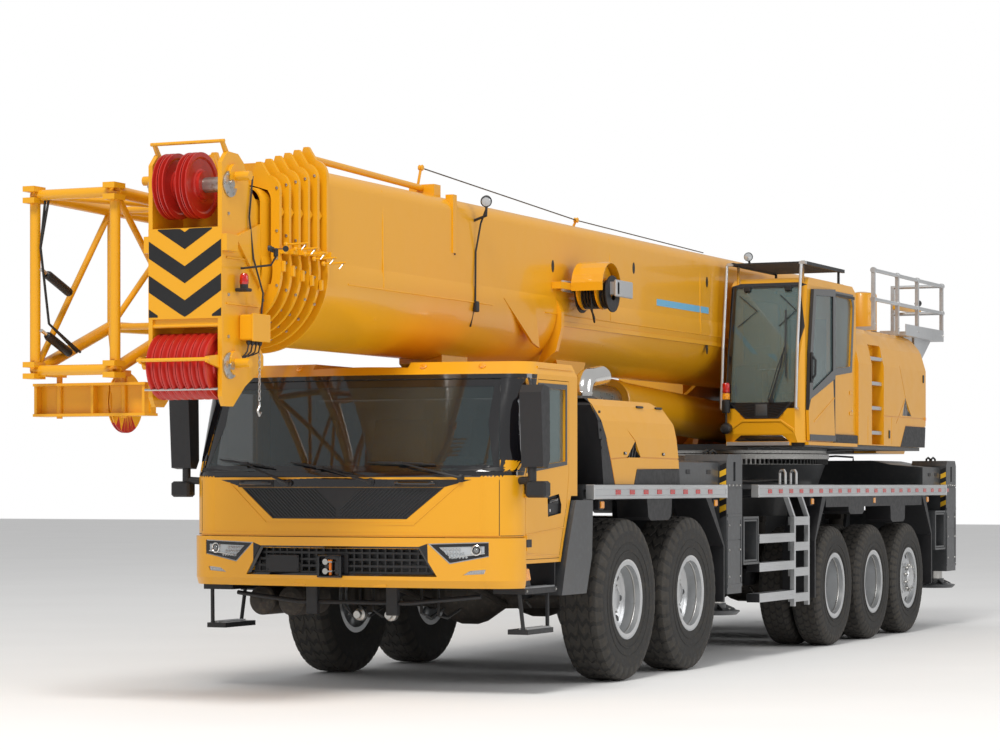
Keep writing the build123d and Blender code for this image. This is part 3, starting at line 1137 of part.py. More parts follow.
head_x = axle_1_x + 4240               # rear edge of the head's side plates
head_y, head_plate = 305, 34
sheave_x, upper_sheave_z, lower_sheave_z = axle_1_x + 4715, 3812, 2512
head_shape = [
    # x from the plates' rear edge, z
    (0, 3640), (170, 3800), (270, 3985), (350, 4040), (500, 4045), (580, 3960), (580, 2290), (540, 2222),
    (420, 2222), (250, 2370), (-20, 2520), (-20, 2600), (150, 2790), (0, 2990),
]
for number in range(2, 8):
    shrink = (number - 1) * section_step
    collar_x = base_front_x + (number - 1) * collar_pitch
    tail_x = boom_tail_x + 200 + 30 * number
    with BuildPart() as section:
        if number < 7:
            tube(tail_x, collar_x, shrink, shrink + section_wall)
            collar(collar_x, shrink)
        else:
            tube(tail_x, head_x + 60, shrink, shrink + section_wall)
        pad(tail_x, tail_x + pad_length, shrink - section_step + section_wall + fit, shrink, 350)
        if number < 7:
            pad(collar_x - pad_length, collar_x, shrink + section_wall, shrink + section_step - fit, -200)
        else:
            for sign in (1, -1):
                inner, outer = sign * (head_y - head_plate), sign * head_y
                outline([(head_x + x, z) for x, z in head_shape], (inner, outer))
                for z in (upper_sheave_z + 60, lower_sheave_z + 20):
                    # boss with a stub arm for the folding jib
                    bar((sheave_x - 60, outer, z), (sheave_x - 60, outer + sign * 26, z), 88)
                    bar((sheave_x - 60, outer, z), (sheave_x - 60, outer + sign * 140, z), 34)
                outline([(head_x + 60, 3560), (head_x + 420, 3440), (head_x + 60, 3100)],
                        (outer - sign * 5, outer + sign * 22))
                outline([(head_x + 420, 3330), (head_x + 580, 3330), (head_x + 580, 3450),
                         (head_x + 420, 3450)],
                        (outer - sign * 5, outer + sign * 40))
            # cover plate between the two sheave packs, and the walls behind them
            block((head_x + 540, head_x + 582), (-head_y, head_y), (2850, 3500))
            block((head_x + 20, head_x + 150), (-head_y + 10, head_y - 10), (2700, 3740))
            for z, height in ((3500, 40), (2850, 40), (3740, 30)):
                end = head_x + 560 if z < 3700 else head_x + 220
                block((head_x + 20, end), (-head_y + 10, head_y - 10), (z - height, z))
            for z in (upper_sheave_z, lower_sheave_z):
                bar((sheave_x, -head_y, z), (sheave_x, head_y, z), 55)
            # rope guards: a high bar on arms, a rod and a low bar
            for sign in (1, -1):
                outline([(head_x + 420, 4000), (head_x + 480, 4000), (head_x + 560, 4120),
                         (head_x + 530, 4130)],
                        (sign * (head_y - 34), sign * (head_y - 14)))
                outline([(head_x + 560, 2490), (head_x + 750, 2530), (head_x + 750, 2570),
                         (head_x + 560, 2590)],
                        (sign * (head_y - 40), sign * (head_y - 20)))
            bar((head_x + 545, -head_y, 4115), (head_x + 545, head_y, 4115), 13)
            bar((head_x + 740, -head_y + 5, 2550), (head_x + 740, head_y - 5, 2550), 13)
            bar((head_x + 560, -head_y + 5, 2800), (head_x + 560, head_y - 5, 2800), 14)
    save(section, f"boom_section_{number}")


def sheave(y, radius, width):
    """A grooved rope sheave with a stepped hub, in the open BuildPart."""
    half, bore = width / 2, 55 + running_gap
    turned([(bore, -half), (radius * 0.45, -half), (radius * 0.5, -half + 9), (radius * 0.8, -half + 9),
            (radius * 0.86, -half), (radius, -half), (radius, -half + 7), (radius - 26, -5), (radius - 26, 5),
            (radius, half - 7), (radius, half), (radius * 0.86, half), (radius * 0.8, half - 9),
            (radius * 0.5, half - 9), (radius * 0.45, half), (bore, half)], y)


packs = [
    # shaft's z, sheaves, radius, width, first y, pitch
    (upper_sheave_z, 4, 238, 42, -175, 50),
    (lower_sheave_z, 8, 240, 56, -217, 62),
]
with BuildPart() as sheaves:
    for z, count, radius, width, first, pitch in packs:
        for i in range(count):
            y = first + i * pitch + (90 if count == 4 and i > 1 else 0)
            sheave(Plane(origin=(sheave_x, y, z), z_dir=(0, 1, 0)), radius, width)
        if count == 4:
            turned([(55 + running_gap, -200), (100, -200), (100, 110), (55 + running_gap, 110)],
                   Plane(origin=(sheave_x, 0, z), z_dir=(0, 1, 0)))
        else:
            turned([(55 + running_gap, -200), (90, -200), (90, 200), (55 + running_gap, 200)],
                   Plane(origin=(sheave_x, 0, z), z_dir=(0, 1, 0)))
save(sheaves, "head_sheaves")

# ---------------------------------------------------------------- lattice jib at the boom's right side
jib_front_x = axle_1_x + 4800
chord, lace = 42, 26
nose_x, nose_pin_ys = jib_front_x - 220, (-1210, -650)
jib_rows = {
    # x from the jib's front, inner y, outer y, low z, high z
    "front": (0, -600, -1290, 2500, 3790),
    "knee": (-1100, -690, -1340, 2880, 3780),
    "tail": (-9200, -740, -1210, 3040, 3630),
}
jib_bays = {("front", "knee"): 1, ("knee", "tail"): 8}


def jib_corners(rows, share):
    """The four corners of the jib between two rows, at a share of the way from one to the other."""
    start, stop = (jib_rows[name] for name in rows)
    x, near, far, low, high = (a + (b - a) * share for a, b in zip(start, stop))
    x += jib_front_x
    return [(x, near, low), (x, near, high), (x, far, high), (x, far, low)]


with BuildPart() as jib:
    runs = []
    for rows, bays in jib_bays.items():
        wide = chord + (4 if rows[0] == "front" else 0)
        ends = jib_corners(rows, 0), jib_corners(rows, 1)
        runs += [(ends[0][i], ends[1][i], wide) for i in range(4)]
        for bay in range(bays):
            here, there = jib_corners(rows, bay / bays), jib_corners(rows, (bay + 1) / bays)
            for i in range(4):
                # posts of the frame, and one diagonal on each face
                first = bay == 0 and rows[0] == "front"
                runs.append((here[i], here[(i + 1) % 4], chord - 3 if first else lace))
                turn = (i, (i + 1) % 4) if bay % 2 else ((i + 1) % 4, i)
                runs.append((here[turn[0]], there[turn[1]], lace - 2))
    tail = jib_corners(("knee", "tail"), 1)
    runs += [(tail[i], tail[(i + 1) % 4], lace) for i in range(4)]
    bars(runs)
    front = jib_corners(("front", "knee"), 0)
    # clevises at the front corners, and the nose's hinge
    for x, y, z in front:
        for low in (-62, 22):
            outline([(x - 60, z + low), (x + 90, z + low), (x + 90, z + low + 40), (x - 60, z + low + 40)],
                    (y - 50, y + 50))
            with Locations((x + 55, y, z + low + 20)):
                Cylinder(26, 60, mode=Mode.SUBTRACT)
    # hangers on the boom base
    for x in (axle_1_x + 1500, axle_1_x - 3500):
        block((x - 60, x + 60), (-760, -boom_half_width), (3380, 3440))
        block((x - 60, x + 60), (-760, -700), (3380, 3760))
    # lugs that the nose hangs from
    for y in nose_pin_ys:
        block((nose_x - 30, nose_x + 240), (y - 30, y + 30), (2455, 2500))

# auxiliary nose: an I-beam with its sheave, hung under the wide end
with BuildPart() as nose:
    outline([(nose_x - 90, 2165), (nose_x + 90, 2165), (nose_x + 90, 2185), (nose_x + 12, 2185),
             (nose_x + 12, 2390),
             (nose_x + 90, 2390), (nose_x + 90, 2410), (nose_x - 90, 2410), (nose_x - 90, 2390),
             (nose_x - 12, 2390),
             (nose_x - 12, 2185), (nose_x - 90, 2185)], (-1400, -430))
    for y in (-1395, -900, -460):
        block((nose_x - 80, nose_x + 80), (y, y + 22), (2180, 2400))
    for y in nose_pin_ys:
        bar((nose_x + 20, y, 2150), (nose_x + 20, y, 2455 - fit), 22)
    with Locations((nose_x - 200, -780, 2270)):
        Cylinder(225, 30, rotation=(90, 0, 0))
        Cylinder(245, 12, rotation=(90, 0, 0), mode=Mode.SUBTRACT)
        Cylinder(205, 14, rotation=(90, 0, 0))
        Cylinder(80, 90, rotation=(90, 0, 0))
    block((nose_x - 260, nose_x), (-835, -815), (2210, 2340))
    block((nose_x - 260, nose_x), (-745, -725), (2210, 2340))
save_together("lattice_jib", jib, nose)

# ---------------------------------------------------------------- lifting cylinder
foot = Vector(cylinder_foot_x, 0, cylinder_foot_z)
eye = Vector(cylinder_eye_x, 0, cylinder_eye_z)
along = (eye - foot).normalized()
barrel_length, gland_length = 3450, 160
with BuildPart() as barrel:
    turned([(rod_radius + running_gap, 200), (0, 200), (0, 150), (barrel_radius - 30, 150),
            (barrel_radius, 190),
            (barrel_radius, barrel_length - gland_length),
            (barrel_radius + 8, barrel_length - gland_length + 12),
            (barrel_radius + 8, barrel_length - 14), (barrel_radius, barrel_length),
            (rod_radius + running_gap, barrel_length)], Plane(origin=foot, z_dir=along))
    with Locations(foot):
        Cylinder(190, 2 * (260 - running_gap), rotation=(90, 0, 0))
save(barrel, "lift_barrel")

with BuildPart() as rod:
    bar(foot + along * 300, eye - along * 60, rod_radius)
    with Locations(eye):
        Cylinder(135, 2 * 200, rotation=(90, 0, 0))
save(rod, "lift_rod")
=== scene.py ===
"""Looks of the mobile crane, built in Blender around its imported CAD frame.

Metres, +X to the front, +Y to the left, +Z up, as in the frame. at(x) is a place x metres ahead of
the first axle. Each piece is made in mesh code and moves with one body of the frame.
"""

import math

import bmesh
import bpy
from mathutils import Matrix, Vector


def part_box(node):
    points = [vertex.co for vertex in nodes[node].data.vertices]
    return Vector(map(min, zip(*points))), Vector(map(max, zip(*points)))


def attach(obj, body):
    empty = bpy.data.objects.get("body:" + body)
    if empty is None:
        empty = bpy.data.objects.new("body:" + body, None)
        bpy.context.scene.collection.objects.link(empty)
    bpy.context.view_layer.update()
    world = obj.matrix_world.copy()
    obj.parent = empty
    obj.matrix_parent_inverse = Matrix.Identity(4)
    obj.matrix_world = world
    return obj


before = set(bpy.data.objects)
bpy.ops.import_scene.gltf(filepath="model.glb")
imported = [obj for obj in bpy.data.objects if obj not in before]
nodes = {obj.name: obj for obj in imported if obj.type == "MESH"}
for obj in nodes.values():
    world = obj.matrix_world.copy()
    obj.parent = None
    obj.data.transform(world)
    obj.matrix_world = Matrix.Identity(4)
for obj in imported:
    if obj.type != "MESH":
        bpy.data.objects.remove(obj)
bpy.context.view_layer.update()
scene = bpy.context.scene


# ---------------------------------------------------------------- places read from the frame
def middle(node):
    """The middle of a CAD node's box."""
    low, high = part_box(node)
    return (low + high) / 2


def edge(node, side, axis):
    """One end of a CAD node's box: side 0 is the low end, 1 the high end."""
    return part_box(node)[side]["xyz".index(axis)]


axle_x = {n: middle(f"wheel_{n}_left").x for n in range(1, 6)}
wheel_z = {n: middle(f"wheel_{n}_left").z for n in range(1, 6)}
slew_x = middle("slewing_ring").x
first_axle = axle_x[1]


def at(x):
    """The frame's X of a place x metres ahead of the first axle."""
    return first_axle + x


# ---------------------------------------------------------------- materials
class Nodes:
    """A short way to write a material's node tree."""

    def __init__(self, name):
        self.material = bpy.data.materials.new(name)
        self.material.use_nodes = True
        self.tree = self.material.node_tree
        self.shader = self.tree.nodes["Principled BSDF"]

    def add(self, kind, **values):
        node = self.tree.nodes.new(kind)
        for key, value in values.items():
            setattr(node, key, value)
        return node

    def link(self, out, into):
        self.tree.links.new(out, into)

    def position(self, scale=(1, 1, 1), turn=(0, 0, 0)):
        coordinates = self.add("ShaderNodeTexCoord")
        mapping = self.add("ShaderNodeMapping")
        mapping.inputs["Scale"].default_value = scale
        mapping.inputs["Rotation"].default_value = turn
        self.link(coordinates.outputs["Object"], mapping.inputs["Vector"])
        return mapping.outputs["Vector"]

    def noise(self, scale, detail=4.0, vector=None):
        node = self.add("ShaderNodeTexNoise")
        node.inputs["Scale"].default_value = scale
        node.inputs["Detail"].default_value = detail
        self.link(vector or self.position(), node.inputs["Vector"])
        return node.outputs["Fac"]

    def ramp(self, fac, stops, steps=False):
        node = self.add("ShaderNodeValToRGB")
        elements = node.color_ramp.elements
        node.color_ramp.interpolation = "CONSTANT" if steps else "LINEAR"
        while len(elements) < len(stops):
            elements.new(0.5)
        for element, (place, colour) in zip(elements, stops):
            element.position = place
            element.color = (*colour, 1.0)
        self.link(fac, node.inputs["Fac"])
        return node.outputs["Color"]

    def bump(self, height, strength, distance):
        node = self.add("ShaderNodeBump")
        node.inputs["Strength"].default_value = strength
        node.inputs["Distance"].default_value = distance
        self.link(height, node.inputs["Height"])
        self.link(node.outputs["Normal"], self.shader.inputs["Normal"])


def shade(colour, factor):
    return tuple(min(1.0, c * factor) for c in colour)


def surface(name, colour, rough, metallic=0.0, coat=0.0, vary=0.06, grain=6.0, bump=0.0, bump_scale=300.0,
            dirt=0.0, soil=(0.20, 0.17, 0.13)):
    """A procedural surface: colour that varies a little, roughness that varies, and a fine bump."""
    n = Nodes(name)
    place = n.position()
    wide = n.noise(grain * 0.12, 3.0, place)
    fine = n.noise(grain * 4.0, 6.0, place)
    base = n.ramp(wide, [(0.35, shade(colour, 1 - vary)), (0.65, shade(colour, 1 + vary))])
    if dirt:
        mix = n.add("ShaderNodeMix", data_type="RGBA")
        spots = n.ramp(fine, [(0.50, (0, 0, 0)), (0.75, (dirt, dirt, dirt))])
        n.link(spots, mix.inputs["Factor"])
        n.link(base, mix.inputs["A"])
        mix.inputs["B"].default_value = (*soil, 1)
        base = mix.outputs["Result"]
    n.link(base, n.shader.inputs["Base Color"])
    tone = n.ramp(fine, [(0.3, (rough * 0.85,) * 3), (0.7, (min(1.0, rough * 1.15),) * 3)])
    n.link(tone, n.shader.inputs["Roughness"])
    n.shader.inputs["Metallic"].default_value = metallic
    n.shader.inputs["Coat Weight"].default_value = coat
    n.shader.inputs["Coat Roughness"].default_value = 0.06
    if bump:
        n.bump(n.noise(bump_scale, 3.0, place), bump, 0.001)
    return n.material


def glass(name, colour, alpha, rough=0.03):
    """Dark tinted glass that lets a part of what is behind it through."""
    n = Nodes(name)
    place = n.position()
    n.link(n.ramp(n.noise(1.2, 2.0, place), [(0.3, shade(colour, 0.8)), (0.7, shade(colour, 1.2))]),
           n.shader.inputs["Base Color"])
    n.shader.inputs["Roughness"].default_value = rough
    n.shader.inputs["Alpha"].default_value = alpha
    n.shader.inputs["Coat Weight"].default_value = 1.0
    n.shader.inputs["Coat Roughness"].default_value = 0.02
    n.shader.inputs["Specular IOR Level"].default_value = 0.7
    return n.material


def glow(name, colour, strength, rough=0.15):
    """A coloured lens that shines a little of its own."""
    n = Nodes(name)
    cells = n.add("ShaderNodeTexVoronoi")
    cells.inputs["Scale"].default_value = 60
    n.link(n.position(), cells.inputs["Vector"])
    n.link(n.ramp(cells.outputs["Distance"], [(0.0, shade(colour, 1.3)), (0.8, shade(colour, 0.6))]),
           n.shader.inputs["Base Color"])
    n.shader.inputs["Roughness"].default_value = rough
    n.shader.inputs["Coat Weight"].default_value = 0.8
    n.shader.inputs["Emission Color"].default_value = (*colour, 1)
    n.shader.inputs["Emission Strength"].default_value = strength
    return n.material


def plate_of_lozenges(name, colour, rough, metallic):
    """Tread plate: crossed rows of small raised bars."""
    n = Nodes(name)
    heights = []
    for turn in (math.radians(45), math.radians(-45)):
        brick = n.add("ShaderNodeTexBrick")
        brick.inputs["Scale"].default_value = 16
        brick.inputs["Mortar Size"].default_value = 0.02
        brick.inputs["Mortar Smooth"].default_value = 0.4
        brick.inputs["Brick Width"].default_value = 0.7
        brick.inputs["Row Height"].default_value = 0.35
        brick.inputs["Color1"].default_value = (1, 1, 1, 1)
        brick.inputs["Color2"].default_value = (0.6, 0.6, 0.6, 1)
        brick.inputs["Mortar"].default_value = (0, 0, 0, 1)
        n.link(n.position(turn=(0, 0, turn)), brick.inputs["Vector"])
        heights.append(brick.outputs["Color"])
    mix = n.add("ShaderNodeMix", data_type="RGBA", blend_type="DARKEN")
    mix.inputs["Factor"].default_value = 1.0
    n.link(heights[0], mix.inputs["A"])
    n.link(heights[1], mix.inputs["B"])
    n.link(n.ramp(n.noise(5.0), [(0.3, shade(colour, 0.85)), (0.7, shade(colour, 1.1))]),
           n.shader.inputs["Base Color"])
    n.shader.inputs["Roughness"].default_value = rough
    n.shader.inputs["Metallic"].default_value = metallic
    n.bump(mix.outputs["Result"], 0.7, 0.003)
    return n.material


yellow = (0.80, 0.370, 0.006)
paint = surface("crane_yellow", yellow, 0.34, coat=0.35, vary=0.025, grain=1.5)
frame_grey = surface("frame_grey", (0.055, 0.058, 0.062), 0.42, coat=0.2, vary=0.12, bump=0.1, dirt=0.12)
black = surface("black_plastic", (0.014, 0.014, 0.016), 0.48, vary=0.2, bump=0.2, bump_scale=700)
gloss_black = surface("gloss_black", (0.006, 0.006, 0.008), 0.10, coat=0.7, vary=0.1)
stripe_black = surface("stripe_black", (0.010, 0.010, 0.011), 0.40, vary=0.1, bump=0.05)
rubber = surface("tyre_rubber", (0.020, 0.019, 0.018), 0.75, vary=0.2, bump=0.4, bump_scale=220, dirt=0.2)
tread_rubber = surface("tread_rubber", (0.045, 0.041, 0.036), 0.85, vary=0.2, bump=0.4, bump_scale=260,
                       dirt=0.35,
                       soil=(0.13, 0.11, 0.085))
silver = surface("silver_paint", (0.60, 0.61, 0.62), 0.33, metallic=0.75, vary=0.05)
alloy = surface("alloy", (0.60, 0.61, 0.62), 0.38, metallic=0.8, vary=0.08, bump=0.1)
steel = surface("machined_steel", (0.50, 0.49, 0.47), 0.30, metallic=1.0, vary=0.08)
rusty = surface("worn_shaft", (0.42, 0.38, 0.34), 0.42, metallic=0.9, vary=0.15, dirt=0.8,
                soil=(0.20, 0.08, 0.03))
chrome = surface("polished_steel", (0.78, 0.77, 0.75), 0.14, metallic=1.0, vary=0.04)
red = surface("sheave_red", (0.50, 0.020, 0.012), 0.36, coat=0.3, vary=0.12)
trim = surface("cab_trim", (0.030, 0.030, 0.033), 0.7, vary=0.15, bump=0.3, bump_scale=500)
iron = surface("cast_iron", (0.10, 0.10, 0.10), 0.6, metallic=0.6, vary=0.2, bump=0.4)
brown_iron = surface("under_iron", (0.060, 0.052, 0.045), 0.65, metallic=0.4, vary=0.25, bump=0.4, dirt=0.4)
lens = surface("lamp_lens", (0.50, 0.53, 0.56), 0.08, metallic=0.3, coat=1.0, vary=0.2)
clear_lens = glass("clear_lens", (0.55, 0.58, 0.60), 0.35, 0.02)
mirror = surface("mirror_face", (0.80, 0.82, 0.84), 0.06, metallic=1.0, vary=0.03)
white = surface("white_paint", (0.78, 0.78, 0.76), 0.4, coat=0.2, vary=0.04)
blue = surface("light_blue", (0.18, 0.48, 0.72), 0.4, coat=0.2, vary=0.05)
amber = glow("amber_lens", (0.95, 0.32, 0.01), 0.12)
red_lens = glow("red_lens", (0.55, 0.006, 0.006), 0.05)
orange = surface("orange_plastic", (0.90, 0.22, 0.01), 0.4, vary=0.05)
cab_glass = glass("cab_glass", (0.020, 0.034, 0.038), 0.58)
side_glass = glass("side_glass", (0.13, 0.20, 0.20), 0.50)
tread_plate = plate_of_lozenges("tread_plate", (0.36, 0.36, 0.36), 0.45, 0.7)
dark_plate = plate_of_lozenges("dark_tread_plate", (0.06, 0.062, 0.065), 0.5, 0.3)
rope_steel = surface("wire_rope", (0.10, 0.095, 0.09), 0.5, metallic=0.7, vary=0.2, bump=0.6, bump_scale=1500)
hose = surface("rubber_hose", (0.012, 0.012, 0.012), 0.55, vary=0.2, bump=0.2)


# ---------------------------------------------------------------- finish of the CAD nodes
def finish_with(node, *materials):
    """Gives a CAD node these materials, all of its faces the first one."""
    data = nodes[node].data
    data.materials.clear()
    for material in materials:
        data.materials.append(material)
    data.polygons.foreach_set("material_index", [0] * len(data.polygons))


def paint_faces(node, index, test):
    """Gives the faces whose middle and normal pass the test another of the node's materials."""
    for polygon in nodes[node].data.polygons:
        if test(polygon.center, polygon.normal):
            polygon.material_index = index


plain = {
    paint: ("engine_hood", "turntable", "counterweight", "lift_barrel", "lattice_jib", "machinery_house"),
    frame_grey: ("chassis",),
    brown_iron: ("axle_beams",),
    alloy: ("platform",),
    steel: ("slewing_ring", "lift_rod"),
    iron: ("engine_block", "exhaust"),
    red: ("head_sheaves",),
    trim: ("cab_interior", "operator_seat"),
    cab_glass: ("cab_windows",),
    side_glass: ("operator_windows",),
}
for material, names in plain.items():
    for node in names:
        finish_with(node, material)


def finish_wheels():
    """Rubber tyres on silver rims, dark hubs inside."""
    for node in nodes:
        if not node.startswith("wheel_"):
            continue
        finish_with(node, rubber, silver, iron)
        centre = middle(node)
        rim = 0.327

        def from_axle(p):
            return math.hypot(p.x - centre.x, p.z - centre.z)

        paint_faces(node, 1, lambda p, n: from_axle(p) < rim)
        paint_faces(node, 2, lambda p, n: from_axle(p) < 0.16 and abs(p.y) < 1.2)


def finish_steel_parts():
    finish_with("decks", frame_grey, alloy)
    for node in nodes:
        if node.startswith("knuckle_"):
            finish_with(node, brown_iron)
        elif node.startswith("outrigger_"):
            finish_with(node, frame_grey)
        elif node.startswith("jack_"):
            finish_with(node, frame_grey, steel)
            paint_faces(node, 1, lambda p, n: p.z > 0.54)
    finish_with("winch_drum", frame_grey, rope_steel)
    drum = middle("winch_drum")
    paint_faces("winch_drum", 1, lambda p,
                n: math.hypot(p.x - drum.x, p.z - drum.z) < 0.2 and abs(p.y) < 0.46)
    finish_with("tanks", iron, brown_iron)
    paint_faces("tanks", 1, lambda p, n: p.x > at(0))
    finish_with("mudguards", frame_grey, black)
    paint_faces("mudguards", 1, lambda p, n: p.x < at(0.6))


def finish_ladders():
    finish_with("ladders", alloy, black, tread_plate)
    paint_faces("ladders", 1, lambda p, n: p.x > at(1.0))
    paint_faces("ladders", 2, lambda p, n: p.x > at(1.0) and n.z > 0.7)


def finish_cab():
    mirrors = 1.475
    finish_with("carrier_cab", paint, black, mirror, trim)
    paint_faces("carrier_cab", 1, lambda p, n: abs(p.y) > 1.455 and p.z > 1.66)
    paint_faces("carrier_cab", 3, lambda p, n: abs(p.y) < 1.36 and p.x < at(2.2) and 1.08 < p.z < 2.52)
    paint_faces("carrier_cab", 2, lambda p, n: abs(p.y) > mirrors and n.x < -0.95 and p.z > 1.8)
    # arch lining and the pocket of the lower front panel are black
    paint_faces("carrier_cab", 1, lambda p, n: abs(p.y) < 1.445 and p.x < at(1.45) and p.z < 1.65)
    paint_faces("carrier_cab", 1, lambda p, n: p.z < 1.05 and n.z < -0.5)
    for node in ("carrier_cab", "cab_front"):
        paint_faces(node, 1, lambda p, n: 1.728 < p.z < 1.86 and p.x > at(1.95) and abs(p.y) < 1.36)
    for side in ("left", "right"):
        node = f"cab_door_{side}"
        finish_with(node, paint, black, side_glass)
        paint_faces(node, 1, lambda p,
                    n: 1.40 < p.z < 1.60 and at(1.35) < p.x < at(1.66) and abs(p.y) < 1.448)
        paint_faces(node, 2, lambda p, n: p.z > 1.79 and at(1.28) < p.x < at(2.0) and 1.42 < abs(p.y) < 1.43)
        paint_faces(node, 1, lambda p, n: abs(p.y) > 1.452)
    finish_with("cab_front", paint, black)
    paint_faces("cab_front", 1, lambda p, n: abs(p.y) < 0.80 and 0.955 < p.z < 1.16 and p.x < at(2.475))
    paint_faces("cab_front", 1, lambda p, n: abs(p.y) < 0.1 and 0.955 < p.z < 1.115)
    paint_faces("carrier_cab", 1, lambda p, n: abs(p.y) < 0.86 and 0.90 < p.z < 1.22 and p.x > at(2.2))
    finish_with("lamps", lens, frame_grey)
    paint_faces("lamps", 1, lambda p, n: p.x < at(0))


def finish_hood():
    """Gives the hood its materials and makes what stands above its top chrome; its black front and the strip at its
    foot are painted in dress_hood.
    """
    finish_with("engine_hood", paint, black, chrome, frame_grey)
    paint_faces("engine_hood", 2, lambda p, n: p.z > 2.3865)


def finish_upper():
    finish_with("machinery_house", paint, black, alloy)
    paint_faces("machinery_house", 2, lambda p, n: 1.35 < p.y < 1.43 and slew_x - 0.73 < p.x < slew_x - 0.26
                and any(abs(p.z - z) < 0.03 for z in (2.23, 2.5, 2.77, 3.04)))
    finish_with("operator_cab", paint, black, trim, silver)
    paint_faces("operator_cab", 2, lambda p, n: 0.66 < p.y < 1.37 and 2.15 < p.z < 3.73
                and slew_x + 0.27 < p.x < slew_x + 1.95)
    paint_faces("operator_cab", 1, lambda p, n: p.z > 3.79)
    front = slew_x + 2.060
    paint_faces("operator_cab", 1, lambda p, n: p.y > 1.421 and p.z > 2.52 - (p.x - front + 0.145) * 0.29)
    paint_faces("operator_cab", 3, lambda p,
                n: p.x > front + 0.012 - 0.186 * max(0.0, (p.z - 3.0) / 0.69) and p.z > 2.35
                and (p.y < 0.64 or p.y > 1.32))
    finish_with("turntable", paint, frame_grey)
    paint_faces("turntable", 1, lambda p, n: p.z < 2.125)
    finish_with("counterweight", paint, frame_grey)


def finish_boom():
    finish_with("boom_base", paint, frame_grey)
    finish_with("lattice_jib", paint, red)
    nose_sheave_top = edge("lattice_jib", 0, "z") + 0.075
    paint_faces("lattice_jib", 1, lambda p, n: p.z < nose_sheave_top)
    for number in range(2, 8):
        finish_with(f"boom_section_{number}", paint, rusty)
    shaft_x = middle("head_sheaves").x
    heights = (edge("head_sheaves", 1, "z") - 0.238, edge("head_sheaves", 0, "z") + 0.24)
    paint_faces("boom_section_7", 1, lambda p, n: abs(p.y) < 0.272 and p.x > at(4.6) and abs(n.y) < 0.5
                and any(math.hypot(p.x - shaft_x, p.z - z) < 0.062 for z in heights))


for step in (finish_wheels, finish_steel_parts, finish_ladders, finish_cab, finish_hood, finish_upper,
             finish_boom):
    step()


